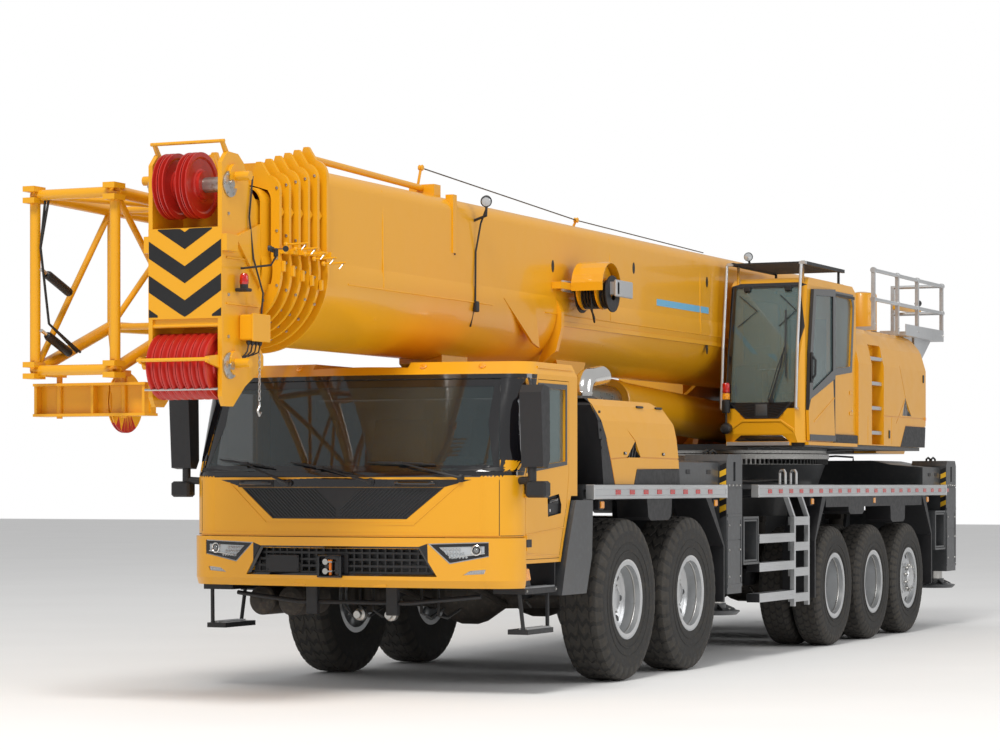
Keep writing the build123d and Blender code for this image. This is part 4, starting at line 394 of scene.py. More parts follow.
# ---------------------------------------------------------------- mesh pieces
class Piece:
    """A piece made face by face, in the frame's metres, that moves with one body of the frame."""

    def __init__(self, name, body, material):
        self.name, self.body = name, body
        self.points, self.faces, self.indices = [], [], []
        self.materials, self.current = [material], 0

    def use(self, material):
        """The next faces get this material."""
        if material not in self.materials:
            self.materials.append(material)
        self.current = self.materials.index(material)
        return self

    def add(self, points, faces):
        start = len(self.points)
        self.points += [tuple(p) for p in points]
        self.faces += [tuple(start + i for i in face) for face in faces]
        self.indices += [self.current] * len(faces)

    def skin(self, rings, caps=True, closed=True, loop=False):
        """Faces between rings that have equally many points; loop joins the last to the first."""
        if loop:
            rings, caps = list(rings) + [rings[0]], False
        n = len(rings[0])
        faces = []
        for r in range(len(rings) - 1):
            for i in range(n if closed else n - 1):
                a, b = r * n + i, r * n + (i + 1) % n
                faces.append((a, b, b + n, a + n))
        if caps:
            faces.append(tuple(reversed(range(n))))
            faces.append(tuple(range(n * (len(rings) - 1), n * len(rings))))
        self.add([p for ring in rings for p in ring], faces)

    def block(self, x, y, z, chamfer=0.004):
        """A block between two values on each axis, with chamfered edges."""
        (x0, x1), (y0, y1), (z0, z1) = sorted(x), sorted(y), sorted(z)
        c = min(chamfer, (x1 - x0) * 0.3, (y1 - y0) * 0.3, (z1 - z0) * 0.3)

        def ring(height, inset, cut):
            a, b, d, e = x0 + inset, x1 - inset, y0 + inset, y1 - inset
            return [(a + cut, d, height), (b - cut, d, height), (b, d + cut, height), (b, e - cut, height),
                    (b - cut, e, height), (a + cut, e, height), (a, e - cut, height), (a, d + cut, height)]

        self.skin([ring(z0, c, c * 0.4), ring(z0 + c, 0, c), ring(z1 - c, 0, c), ring(z1, c, c * 0.4)])

    def lathe(self, profile, origin, axis, sides=16, start=0.0, loop=False):
        """A profile of (radius, distance along the axis) turned round the axis; loop closes it as a ring."""
        axis = Vector(axis).normalized()
        origin = Vector(origin)
        u = axis.orthogonal().normalized()
        v = axis.cross(u)
        rings = []
        for radius, along in profile:
            ring = []
            for i in range(sides):
                angle = start + 2 * math.pi * i / sides
                ring.append(origin + axis * along + (u * math.cos(angle) + v * math.sin(angle)) * max(radius,
                                                                                                      1e-4))
            rings.append(ring)
        self.skin(rings, loop=loop)

    def tube(self, path, radius, sides=8):
        """A round bar along a path; radius is a number or one for each point."""
        path = [Vector(p) for p in path]
        radii = radius if isinstance(radius, (list, tuple)) else [radius] * len(path)
        heads = [(path[min(i + 1, len(path) - 1)] - path[max(i - 1,
                                                             0)]).normalized() for i in range(len(path))]
        u = heads[0].orthogonal().normalized()
        rings = []
        for point, head, size in zip(path, heads, radii):
            u = (u - head * u.dot(head)).normalized()
            v = head.cross(u)
            rings.append([point + (u * math.cos(2 * math.pi * i / sides) + v * math.sin(2 * math.pi * i / sides)) * size
                          for i in range(sides)])
        self.skin(rings)

    def prism(self, outline, origin, u, v, depth, chamfer=0.003):
        """An outline of (a, b) points on the axes u and v, pushed along their normal, edges chamfered."""
        origin, u, v = Vector(origin), Vector(u).normalized(), Vector(v).normalized()
        n = u.cross(v)
        count = len(outline)
        area = sum(outline[i][0] * outline[(i + 1) % count][1] - outline[(i + 1) % count][0] * outline[i][1]
                   for i in range(count))
        turn = 1 if area > 0 else -1
        inner = []
        for i in range(count):
            before, here, after = (Vector(outline[(i + k) % count]) for k in (-1, 0, 1))
            d0, d1 = (here - before).normalized(), (after - here).normalized()
            n0, n1 = Vector((-d0.y, d0.x)) * turn, Vector((-d1.y, d1.x)) * turn
            inner.append(here + (n0 + n1) * chamfer / max(0.5, 1 + n0.dot(n1)))

        def ring(points, height):
            return [origin + u * p[0] + v * p[1] + n * height for p in points]

        c = min(chamfer, abs(depth) * 0.3) * (1 if depth > 0 else -1)
        self.skin([ring(inner, 0), ring(outline, c), ring(outline, depth - c), ring(inner, depth)])

    def bolt(self, place, normal, size=0.014):
        """A hexagon bolt on its washer."""
        self.lathe([(size * 1.25, 0), (size * 1.25, size * 0.2), (size, size * 0.22), (size, size * 0.75),
                    (size * 0.8, size * 0.9)], place, normal, 6)

    def strip(self, left, right, thick, normal):
        """A thin band between two rows of points."""
        lift = Vector(normal).normalized() * thick
        rings = []
        for a, b in zip(left, right):
            a, b = Vector(a), Vector(b)
            rings.append([a, b, b + lift, a + lift])
        self.skin(rings)

    def sheet(self, grid, thick):
        """A skin over a grid of (point, outward normal) rows, as thick as asked, on top of the points."""
        rows, columns = len(grid), len(grid[0])
        lower = [p for row in grid for p, n in row]
        upper = [Vector(p) + Vector(n) * thick for row in grid for p, n in row]
        total = rows * columns
        faces = []
        for r in range(rows - 1):
            for c in range(columns - 1):
                a = r * columns + c
                faces.append((a, a + columns, a + columns + 1, a + 1))
                faces.append((total + a, total + a + 1, total + a + columns + 1, total + a + columns))
        rim = [(0, c) for c in range(columns)] + [(r, columns - 1) for r in range(1, rows)]
        rim += [(rows - 1, c) for c in range(columns - 2, -1, -1)] + [(r, 0) for r in range(rows - 2, 0, -1)]
        for (r0, c0), (r1, c1) in zip(rim, rim[1:] + rim[:1]):
            a, b = r0 * columns + c0, r1 * columns + c1
            faces.append((a, b, total + b, total + a))
        self.add(lower + upper, faces)

    def done(self, sharp=32):
        data = bpy.data.meshes.new(self.name)
        data.from_pydata(self.points, [], self.faces)
        for material in self.materials:
            data.materials.append(material)
        data.polygons.foreach_set("material_index", self.indices)
        shape = bmesh.new()
        shape.from_mesh(data)
        bmesh.ops.recalc_face_normals(shape, faces=shape.faces)
        shape.to_mesh(data)
        shape.free()
        data.polygons.foreach_set("use_smooth", [True] * len(data.polygons))
        data.set_sharp_from_angle(angle=math.radians(sharp))
        piece = bpy.data.objects.new(self.name, data)
        scene.collection.objects.link(piece)
        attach(piece, self.body)
        return piece


# ---------------------------------------------------------------- tyres and rims
def tyre_profile(radius, width):
    """Points (across, radius) over a tyre's tread, from one shoulder to the other."""
    half = width / 2
    side = [(-half + 0.001, radius * 0.86), (-half + 0.008, radius * 0.91), (-half + 0.034, radius - 0.010),
            (-half + 0.062, radius)]
    return side + [(-y, r) for y, r in reversed(side)]


def on_profile(profile, y):
    """The radius of the tread at a place across it."""
    for (y0, r0), (y1, r1) in zip(profile, profile[1:]):
        if y <= y1:
            return r0 + (r1 - r0) * max(0.0, (y - y0) / (y1 - y0))
    return profile[-1][1]


def tread_blocks(piece, centre, radius, width, pitches, blocks, rise):
    """Rows of tread blocks. A block is a run of (across, shift round the tyre, length) as shares."""
    profile = tyre_profile(radius, width)
    pitch = 2 * math.pi / pitches
    for row in range(pitches):
        for block in blocks:
            rings = []
            for across, shift, length in block:
                y = across * (width / 2 - 0.001)
                low = on_profile(profile, y) - 0.004
                middle_angle = (row + shift) * pitch
                ring = []
                for lift, share in ((0, 1.0), (rise, 0.86)):
                    for end in ((-1, 1) if lift == 0 else (1, -1)):
                        angle = middle_angle + end * length * share * pitch / 2
                        r = low + (0.004 if lift else 0) + lift
                        ring.append((centre.x + r * math.sin(angle), centre.y + y,
                                     centre.z + r * math.cos(angle)))
                rings.append(ring)
            piece.skin(rings)


front_blocks = []
for side in (1, -1):
    # a bent block from the centre line to the shoulder, and the shoulder's own block
    front_blocks.append([(side * a, s, w) for a, s, w in
                         ((0.02, 0.00, 0.66), (0.20, 0.52, 0.72), (0.40, 0.20, 0.74), (0.52, 0.42, 0.72))])
    front_blocks.append([(side * a, s, w) for a, s, w in
                         ((0.57, 0.52, 0.74), (0.70, 0.40, 0.78), (0.83, 0.50, 0.80), (0.96, 0.55, 0.74),
                          (0.995, 0.55, 0.66))])
rear_blocks = []
for low, high, phase in ((-0.60, -0.24, 0.0), (-0.18, 0.18, 0.5), (0.24, 0.60, 0.0)):
    rear_blocks.append([(low, phase, 0.82), ((low + high) / 2, phase + 0.22, 0.86), (high, phase, 0.82)])
for side in (1, -1):
    rear_blocks.append([(side * a, s, w) for a, s, w in
                        ((0.66, 0.5, 0.74), (0.82, 0.5, 0.80), (0.96, 0.5, 0.80), (0.995, 0.5, 0.72))])
single_y = {1: 1.2975, 2: 1.2975, 3: 1.3325, 4: 1.3325, 5: 1.3325}
disc_y = {1: 1.2775, 2: 1.2775, 3: 1.160, 4: 1.160, 5: 1.4445}


def dress_wheels():
    for number in range(1, 6):
        for side, sign in (("left", 1), ("right", -1)):
            body = f"wheel_{number}_{side}"
            centre = Vector((axle_x[number], 0, wheel_z[number]))
            front = number < 3
            radius = wheel_z[number]
            width = 0.385 if front else 0.315
            tread = Piece(f"tread_{body}", body, tread_rubber)
            places = [single_y[number]] + ([single_y[number] - 0.345] if number in (3, 4) else [])
            for y in places:
                middle_of_tyre = Vector((centre.x, sign * y, centre.z))
                tread_blocks(tread, middle_of_tyre, radius - 0.006, width, 34 if front else 44,
                             front_blocks if front else rear_blocks, 0.011)
            tread.done()
            dress_rim(body, centre, number, sign)


def dress_rim(body, centre, number, sign):
    """Sidewall rings, rim flange, studs with nuts, the hub's cap and its bolts."""
    axis = Vector((0, sign, 0))
    outer = single_y[number] + (0.1925 if number < 3 else 0.1575)
    face = Vector((centre.x, sign * outer, centre.z))
    radius = wheel_z[number]
    rim = Piece(f"rim_{body}", body, silver)
    rim.lathe([(0.296, -0.030), (0.318, -0.030), (0.326, -0.018), (0.341, -0.014), (0.343, -0.020),
               (0.336, -0.026),
               (0.336, -0.046), (0.296, -0.046)], face, axis, 64, loop=True)
    rim.use(steel)
    rim.lathe([(0.290, -0.066), (0.298, -0.060), (0.298, -0.072), (0.290, -0.078)], face, axis, 64, loop=True)
    rim.use(rubber)
    for share, size in ((0.60, 0.004), (0.70, 0.003), (0.80, 0.003)):
        ring = radius * share
        lift = -0.006 if share < 0.65 else -0.003
        rim.lathe([(ring - size * 2, lift - 0.004), (ring - size, lift + 0.003), (ring + size, lift + 0.003),
                   (ring + size * 2, lift - 0.004)], face, axis, 64, loop=True)
    seat = disc_y[number]
    hub_face = Vector((centre.x, sign * (seat + 0.016), centre.z))
    rim.use(silver)
    nose = 0.075 if number < 3 else 0.095 if number < 5 else 0.060
    rim.lathe([(0.160, 0.000), (0.160, 0.004), (0.122, 0.008), (0.122, nose - 0.026), (0.108, nose - 0.010),
               (0.108, nose - 0.014), (0.085, nose - 0.010), (0.078, nose - 0.008), (0.030, nose - 0.006)],
              hub_face, axis, 40)
    for i in range(10):
        angle = 2 * math.pi * i / 10
        spot = Vector((math.sin(angle), 0, math.cos(angle)))
        rim.use(steel)
        base = Vector((centre.x, sign * (seat + 0.022), centre.z)) + spot * 0.141
        rim.lathe([(0.017, 0), (0.017, 0.004), (0.0145, 0.005), (0.0145, 0.026), (0.012, 0.030),
                   (0.008, 0.030),
                   (0.008, 0.046), (0.006, 0.048)], base, axis, 6)
        if i % 2:
            rim.bolt(Vector((centre.x, sign * (seat + 0.006 + nose), centre.z)) + spot * 0.092, axis, 0.006)
    # valve
    rim.use(chrome)
    rim.tube([(centre.x + 0.22, sign * (seat + 0.02), centre.z + 0.12),
              (centre.x + 0.235, sign * (seat + 0.06), centre.z + 0.13)], 0.005, 6)
    rim.done()


dress_wheels()

# ---------------------------------------------------------------- the cab's form
cab_rows = [
    # z, front x at the middle, front x at the corner, where the side ends, half width, from the first axle
    (0.85, 2.440, 2.320, 2.114, 1.440), (0.91, 2.490, 2.360, 2.116, 1.450), (1.04, 2.500, 2.370, 2.110,
                                                                             1.450),
    (1.72, 2.500, 2.370, 2.110, 1.450), (2.54, 2.180, 2.060, 1.850, 1.450), (2.64, 2.060, 1.950, 1.760,
                                                                             1.400),
]


def cab_plan(z):
    for low, high in zip(cab_rows, cab_rows[1:]):
        if z <= high[0]:
            share = (z - low[0]) / (high[0] - low[0])
            return [a + (b - a) * share for a, b in zip(low[1:], high[1:])]
    return list(cab_rows[-1][1:])


def cab_place(t, z, out=0.0):
    """A place on the cab's front: t is 0 at the middle, 1 where the corner starts, 2 at the side."""
    front, corner, side, half = cab_plan(z)
    radius = corner - side
    round_y = half - radius
    sign, t = (1 if t >= 0 else -1), abs(t)
    if t <= 1:
        x, y = front - (front - corner) * t * t, round_y * t
        slope = -2 * (front - corner) * t / round_y
        normal = Vector((1, -slope, 0)).normalized()
    elif t <= 2:
        angle = (t - 1) * math.pi / 2
        x, y = side + radius * math.cos(angle), round_y + radius * math.sin(angle)
        normal = Vector((math.cos(angle), math.sin(angle), 0))
    else:
        x, y = side - (t - 2) * 0.4, half
        normal = Vector((0, 1, 0))
    below = cab_plan(z - 0.01)[0] - cab_plan(z + 0.01)[0]
    lean = Vector((normal.x, normal.y, max(0.0, below) / 0.02 * normal.x * 0.95)).normalized()
    point = Vector((at(x), y, z)) + lean * out
    return Vector((point.x, sign * point.y, point.z)), Vector((lean.x, sign * lean.y, lean.z))


def t_of(y, z):
    """The t of a place at this y."""
    front, corner, side, half = cab_plan(z)
    radius = corner - side
    round_y = half - radius
    size = abs(y)
    if size <= round_y:
        t = size / round_y
    else:
        t = 1 + math.asin(min(1.0, (size - round_y) / radius)) / (math.pi / 2)
    return math.copysign(t, y)


def cab_cover(piece, rows, columns, out, thick, rounds=1):
    """A skin on the cab's front between (z, t from, t to) rows, each with so many columns."""
    full = []
    for (z0, a0, b0), (z1, a1, b1) in zip(rows, rows[1:]):
        for i in range(rounds):
            share = i / rounds
            full.append((z0 + (z1 - z0) * share, a0 + (a1 - a0) * share, b0 + (b1 - b0) * share))
    full.append(rows[-1])
    grid = [[cab_place(a + (b - a) * c / columns, z, out) for c in range(columns + 1)] for z, a, b in full]
    piece.sheet(grid, thick)


def cab_line(piece, ends, width, out, thick, steps=8):
    """A thin band along a line between two (t, z) places."""
    (t0, z0), (t1, z1) = ends
    grid = []
    for i in range(steps + 1):
        t, z = t0 + (t1 - t0) * i / steps, z0 + (z1 - z0) * i / steps
        a, n = cab_place(t, z, out)
        b, _ = cab_place(t + 0.001 * (1 if t1 == t0 else 0), z + 0.001 * (0 if t1 == t0 else 1), out)
        side = (b - a).normalized() * width / 2
        grid.append([(a - side, n), (a + side, n)])
    piece.sheet(grid, thick)


def screen_edge(z):
    """Half the width of the windscreen at a height."""
    return 1.330 - 0.095 * (z - 1.80) / 0.70


def dress_screen():
    band = Piece("screen_band", "carrier", gloss_black)
    # under the glass, down to the ribbed panel
    for low_z in (1.642,):
        rows = [(low_z, t_of(-0.905, low_z), t_of(0.905, low_z)),
                (1.700, t_of(-1.12, 1.70), t_of(1.12, 1.70)),
                (1.735, -1.96, 1.96), (1.762, -1.99, 1.99)]
        cab_cover(band, rows, 40, 0.0006, 0.0018)
    rows = [(1.762, t_of(-0.9, 1.762), t_of(0.9, 1.762)), (1.790, t_of(-1.16, 1.79), t_of(1.16, 1.79))]
    # posts beside the glass
    for sign in (1, -1):
        rows = []
        for i in range(9):
            z = 1.764 + (2.50 - 1.764) * i / 8
            rows.append((z, sign * t_of(max(0.92, min(screen_edge(z), 0.92 + (z - 1.764) * 11)), z),
                         sign * 1.995))
        cab_cover(band, rows, 8, 0.0006, 0.0018)
    # over the glass
    cab_cover(band, [(2.502, -1.99, 1.99), (2.536, -1.99, 1.99)], 30, 0.0006, 0.0018)
    band.done(40)
    # dark printed edge on the glass itself
    edge_print = Piece("screen_print", "carrier", gloss_black)
    for sign in (1, -1):
        rows = [(z, sign * t_of(screen_edge(z) - 0.045 - 0.05 * (1 - abs(z - 2.15) / 0.35), z),
                 sign * t_of(screen_edge(z) - 0.006, z))
                for z in (1.80, 1.90, 2.00, 2.15, 2.30, 2.40, 2.495)]
        cab_cover(edge_print, rows, 3, -0.009, 0.0012)
    cab_cover(edge_print, [(2.44, t_of(-1.22, 2.44), t_of(1.22, 2.44)),
                           (2.496, t_of(-1.225, 2.496), t_of(1.225, 2.496))], 24, -0.0085, 0.0012)
    cab_cover(edge_print, [(1.768, t_of(-0.90, 1.77), t_of(0.90, 1.77)),
                           (1.795, t_of(-1.28, 1.8), t_of(1.28, 1.8)),
                           (1.815, t_of(-1.31, 1.82), t_of(1.31, 1.82))], 24, -0.0085, 0.0012)
    edge_print.done(40)


def dress_cowl():
    """The ribbed panel under the windscreen, with slanting ribs that meet in the middle."""
    panel = Piece("cowl_panel", "carrier", black)
    rows = [(1.393, t_of(-0.598, 1.393), t_of(0.598, 1.393)),
            (1.638, t_of(-0.902, 1.638), t_of(0.902, 1.638))]
    cab_cover(panel, rows, 24, -0.0118, 0.0014, rounds=3)
    panel.use(gloss_black)
    low, high, slope = 1.398, 1.634, 1.15
    half_at = lambda z: 0.590 + (z - low) * 1.24
    for sign in (1, -1):
        for i in range(34):
            start = -0.05 + i * 0.0335
            points = []
            for k in range(9):
                z = low + (high - low) * k / 8
                y = start + (z - low) * slope
                if 0.004 <= y <= half_at(z) - 0.004:
                    points.append((y, z))
            if len(points) < 2:
                continue
            grid = []
            for y, z in points:
                a, n = cab_place(sign * t_of(y - 0.006, z), z, -0.0105)
                b, m = cab_place(sign * t_of(y + 0.006, z), z, -0.0105)
                grid.append([(a, n), (b, m)])
            panel.sheet(grid, 0.006)
    # frame round the panel
    panel.use(black)
    for sign in (1, -1):
        grid = [[cab_place(sign * t_of(0.598 + (z - 1.393) * 1.24 - w, z), z, -0.011) for w in (0.0, 0.012)]
                for z in (1.393, 1.45, 1.52, 1.58, 1.638)]
        panel.sheet(grid, 0.009)
    cab_cover(panel, [(1.392, t_of(-0.598, 1.392), t_of(0.598, 1.392)),
                      (1.403, t_of(-0.61, 1.40), t_of(0.61, 1.40))], 24, -0.011, 0.009)
    cab_cover(panel, [(1.628, t_of(-0.885, 1.63), t_of(0.885, 1.63)),
                      (1.640, t_of(-0.905, 1.64), t_of(0.905, 1.64))], 24, -0.011, 0.010)
    panel.done(40)


def dress_wipers():
    for name, pivot_y, pivot_z, tip, heel in (
            ("right", -0.44, 1.675, (-1.16, 1.862), (-0.60, 1.790)),
            ("middle", 0.30, 1.685, (-0.44, 1.835), (0.14, 1.745)),
            ("left", 1.04, 1.715, (0.25, 1.835), (0.82, 1.815))):
        wiper = Piece(f"wiper_{name}", "carrier", black)
        pivot, normal = cab_place(t_of(pivot_y, pivot_z), pivot_z, 0.002)
        wiper.lathe([(0.030, 0), (0.030, 0.012), (0.020, 0.020), (0.020, 0.038), (0.012, 0.042)], pivot,
                    normal, 16)
        blade = []
        for i in range(7):
            share = i / 6
            y, z = tip[0] + (heel[0] - tip[0]) * share, tip[1] + (heel[1] - tip[1]) * share
            blade.append(cab_place(t_of(y, z), z, 0.012)[0])
        wiper.tube(blade, 0.006, 6)
        wiper.tube([p + Vector((0.010, 0, 0.004)) for p in blade[1:6]], 0.008, 6)
        joint = (blade[3] + Vector((0.020, 0, 0.004)))
        start = pivot + normal * 0.034
        knee = start.lerp(joint, 0.35) + Vector((0.010, 0, 0))
        wiper.tube([start, knee], [0.013, 0.009], 8)
        wiper.tube([knee, joint], [0.008, 0.006], 6)
        wiper.block((joint.x - 0.014, joint.x + 0.012), (joint.y - 0.030, joint.y + 0.030),
                    (joint.z - 0.012, joint.z + 0.012))
        wiper.done()
    for name, y0, y1 in (("right", -0.92, -0.61), ("left", 0.51, 0.83)):
        grab = Piece(f"grab_{name}", "carrier", gloss_black)
        z = 1.672
        path = [cab_place(t_of(y0 + (y1 - y0) * i / 8, z), z,
                          0.036 if 0 < i < 8 else 0.004)[0] for i in range(9)]
        grab.tube(path, 0.015, 10)
        grab.use(black)
        rows = [(z - 0.030, t_of(y0 - 0.02, z), t_of(y1 + 0.02, z)),
                (z + 0.028, t_of(y0 - 0.02, z), t_of(y1 + 0.02, z))]
        cab_cover(grab, rows, 8, 0.0026, 0.003)
        grab.done()


def dress_front_seams():
    seams = Piece("front_seams", "carrier", stripe_black)
    for sign in (1, -1):
        cab_line(seams, ((sign * 1.38, 1.262), (sign * 1.38, 1.728)), 0.005, -0.0002, 0.0012)
        cab_line(seams, ((sign * 1.40, 1.262), (sign * 1.98, 1.262)), 0.005, -0.0002, 0.0012)
    # crease over the bumper and the fold beside the ribbed panel
    seams.use(paint)
    cab_cover(seams, [(1.262, -1.36, 1.36), (1.275, -1.36, 1.36), (1.282, -1.36, 1.36)], 40, 0.0002, 0.005)
    for sign in (1, -1):
        grid = [[cab_place(sign * t_of(0.66 + (z - 1.36) * 1.15 + w, z), z, 0.0002) for w in (0.0, 0.018)]
                for z in (1.36, 1.44, 1.52, 1.60, 1.68)]
        seams.sheet(grid, 0.005)
    cab_cover(seams, [(1.344, t_of(-0.665, 1.35), t_of(0.665, 1.35)),
                      (1.360, t_of(-0.67, 1.36), t_of(0.67, 1.36))], 24, 0.0002, 0.005)
    seams.done(40)


def dress_lamps():
    """Inside each headlamp: a dark bezel, cut-glass cells and a round projector behind its ring."""
    for side, sign in (("left", 1), ("right", -1)):
        lamp = Piece(f"headlamp_{side}", "carrier", gloss_black)
        corners = [(1.262, 1.106), (1.262, 1.207), (0.800, 1.193), (0.958, 1.050)]
        inner = [(1.232, 1.132), (1.232, 1.182), (0.868, 1.172), (0.972, 1.080)]

        def spot(y, z, out=0.0):
            return cab_place(sign * t_of(y, z), z, 0.0125 + out)

        for (a, b), (c, d) in zip(zip(corners, corners[1:] + corners[:1]), zip(inner, inner[1:] + inner[:1])):
            grid = []
            for i in range(7):
                s = i / 6
                p = (a[0] + (b[0] - a[0]) * s, a[1] + (b[1] - a[1]) * s)
                q = (c[0] + (d[0] - c[0]) * s, c[1] + (d[1] - c[1]) * s)
                grid.append([spot(*p), spot(*q)])
            lamp.sheet(grid, 0.004)
        # projector and its ring
        place, normal = spot(1.165, 1.150)
        lamp.use(chrome).lathe([(0.040, 0.0), (0.042, 0.010), (0.036, 0.013), (0.031, 0.008),
                                (0.031, 0.002)], place, normal, 24)
        lamp.use(gloss_black).lathe([(0.030, 0.0), (0.030, 0.006), (0.022, 0.008)], place, normal, 24)
        lamp.use(clear_lens).lathe([(0.022, 0.004), (0.021, 0.010), (0.015, 0.016), (0.006, 0.019)], place,
                                   normal, 20)
        # cut-glass cells
        lamp.use(lens)
        for row in range(3):
            for i in range(6):
                z = 1.095 + row * 0.030
                y = 0.958 + i * 0.026 - row * 0.028
                if y < 0.885 + (1.175 - z) * 0.4 or y > 1.105:
                    continue
                p, n = spot(y, z)
                lamp.lathe([(0.013, 0.001), (0.012, 0.004), (0.004, 0.009)], p, n, 4, 0.6)
        # bright bar under the projector
        lamp.use(chrome)
        grid = [[spot(y, 1.088 + (y - 0.97) * 0.13), spot(y, 1.096 + (y - 0.97) * 0.13)] for y in (0.99,
                                                                                                   1.06, 1.13, 1.20, 1.235)]
        lamp.sheet(grid, 0.005)
        lamp.use(lens)
        for i in range(7):
            y = 1.100 + i * 0.019
            p, n = spot(y, 0.972 + 0.006 * (y - 1.06) / 0.17)
            lamp.block((p.x - 0.004, p.x + 0.006), (p.y - 0.007, p.y + 0.007), (p.z - 0.008, p.z + 0.008),
                       0.002)
        lamp.done(30)


def dress_grille():
    """The frame round the grille, a blank plate, and the towing eye's box with its orange pin."""
    grille = Piece("grille_frame", "carrier", gloss_black)
    shape = [(-0.855, 0.940), (0.855, 0.940), (0.710, 1.175), (-0.710, 1.175)]
    inner = [(-0.820, 0.956), (0.820, 0.956), (0.695, 1.160), (-0.695, 1.160)]
    for (a, b), (c, d) in zip(zip(shape, shape[1:] + shape[:1]), zip(inner, inner[1:] + inner[:1])):
        grid = []
        for i in range(13):
            s = i / 12
            p = (a[0] + (b[0] - a[0]) * s, a[1] + (b[1] - a[1]) * s)
            q = (c[0] + (d[0] - c[0]) * s, c[1] + (d[1] - c[1]) * s)
            grid.append([cab_place(t_of(*p), p[1], 0.0012), cab_place(t_of(*q), q[1], -0.010)])
        grille.sheet(grid, 0.003)
    grille.use(black)
    p, _ = cab_place(t_of(-0.50, 1.03), 1.03, -0.008)
    grille.block((p.x - 0.006, p.x + 0.008), (-0.655, -0.357), (0.962, 1.102), 0.004)
    for y in (-0.64, -0.372):
        for z in (0.98, 1.084):
            grille.bolt((p.x + 0.008, y, z), (1, 0, 0), 0.007)
    box_x, _ = cab_place(0, 1.0, 0.0)
    grille.use(gloss_black)
    for y in ((-0.160, -0.140), (0.036, 0.056)):
        grille.block((box_x.x - 0.030, box_x.x + 0.045), y, (0.925, 1.105), 0.006)
    for z in ((0.925, 0.943), (1.088, 1.105)):
        grille.block((box_x.x - 0.030, box_x.x + 0.045), (-0.160, 0.056), z, 0.006)
    grille.block((box_x.x - 0.026, box_x.x - 0.010), (-0.150, 0.046), (0.935, 1.095), 0.004)
    grille.use(orange)
    grille.lathe([(0.011, 0), (0.011, 0.110), (0.020, 0.112), (0.020, 0.120), (0.010, 0.124)],
                 (box_x.x + 0.018, -0.050, 0.945), (0, 0, 1), 14)
    grille.use(steel)
    for z in (0.975, 1.050):
        grille.lathe([(0.014, 0), (0.014, 0.020), (0.024, 0.022), (0.024, 0.030)],
                     (box_x.x - 0.006, -0.095, z), (1, 0, 0), 14)
        grille.block((box_x.x - 0.008, box_x.x + 0.034), (-0.072, -0.030), (z - 0.008, z + 0.008), 0.003)
    grille.done()


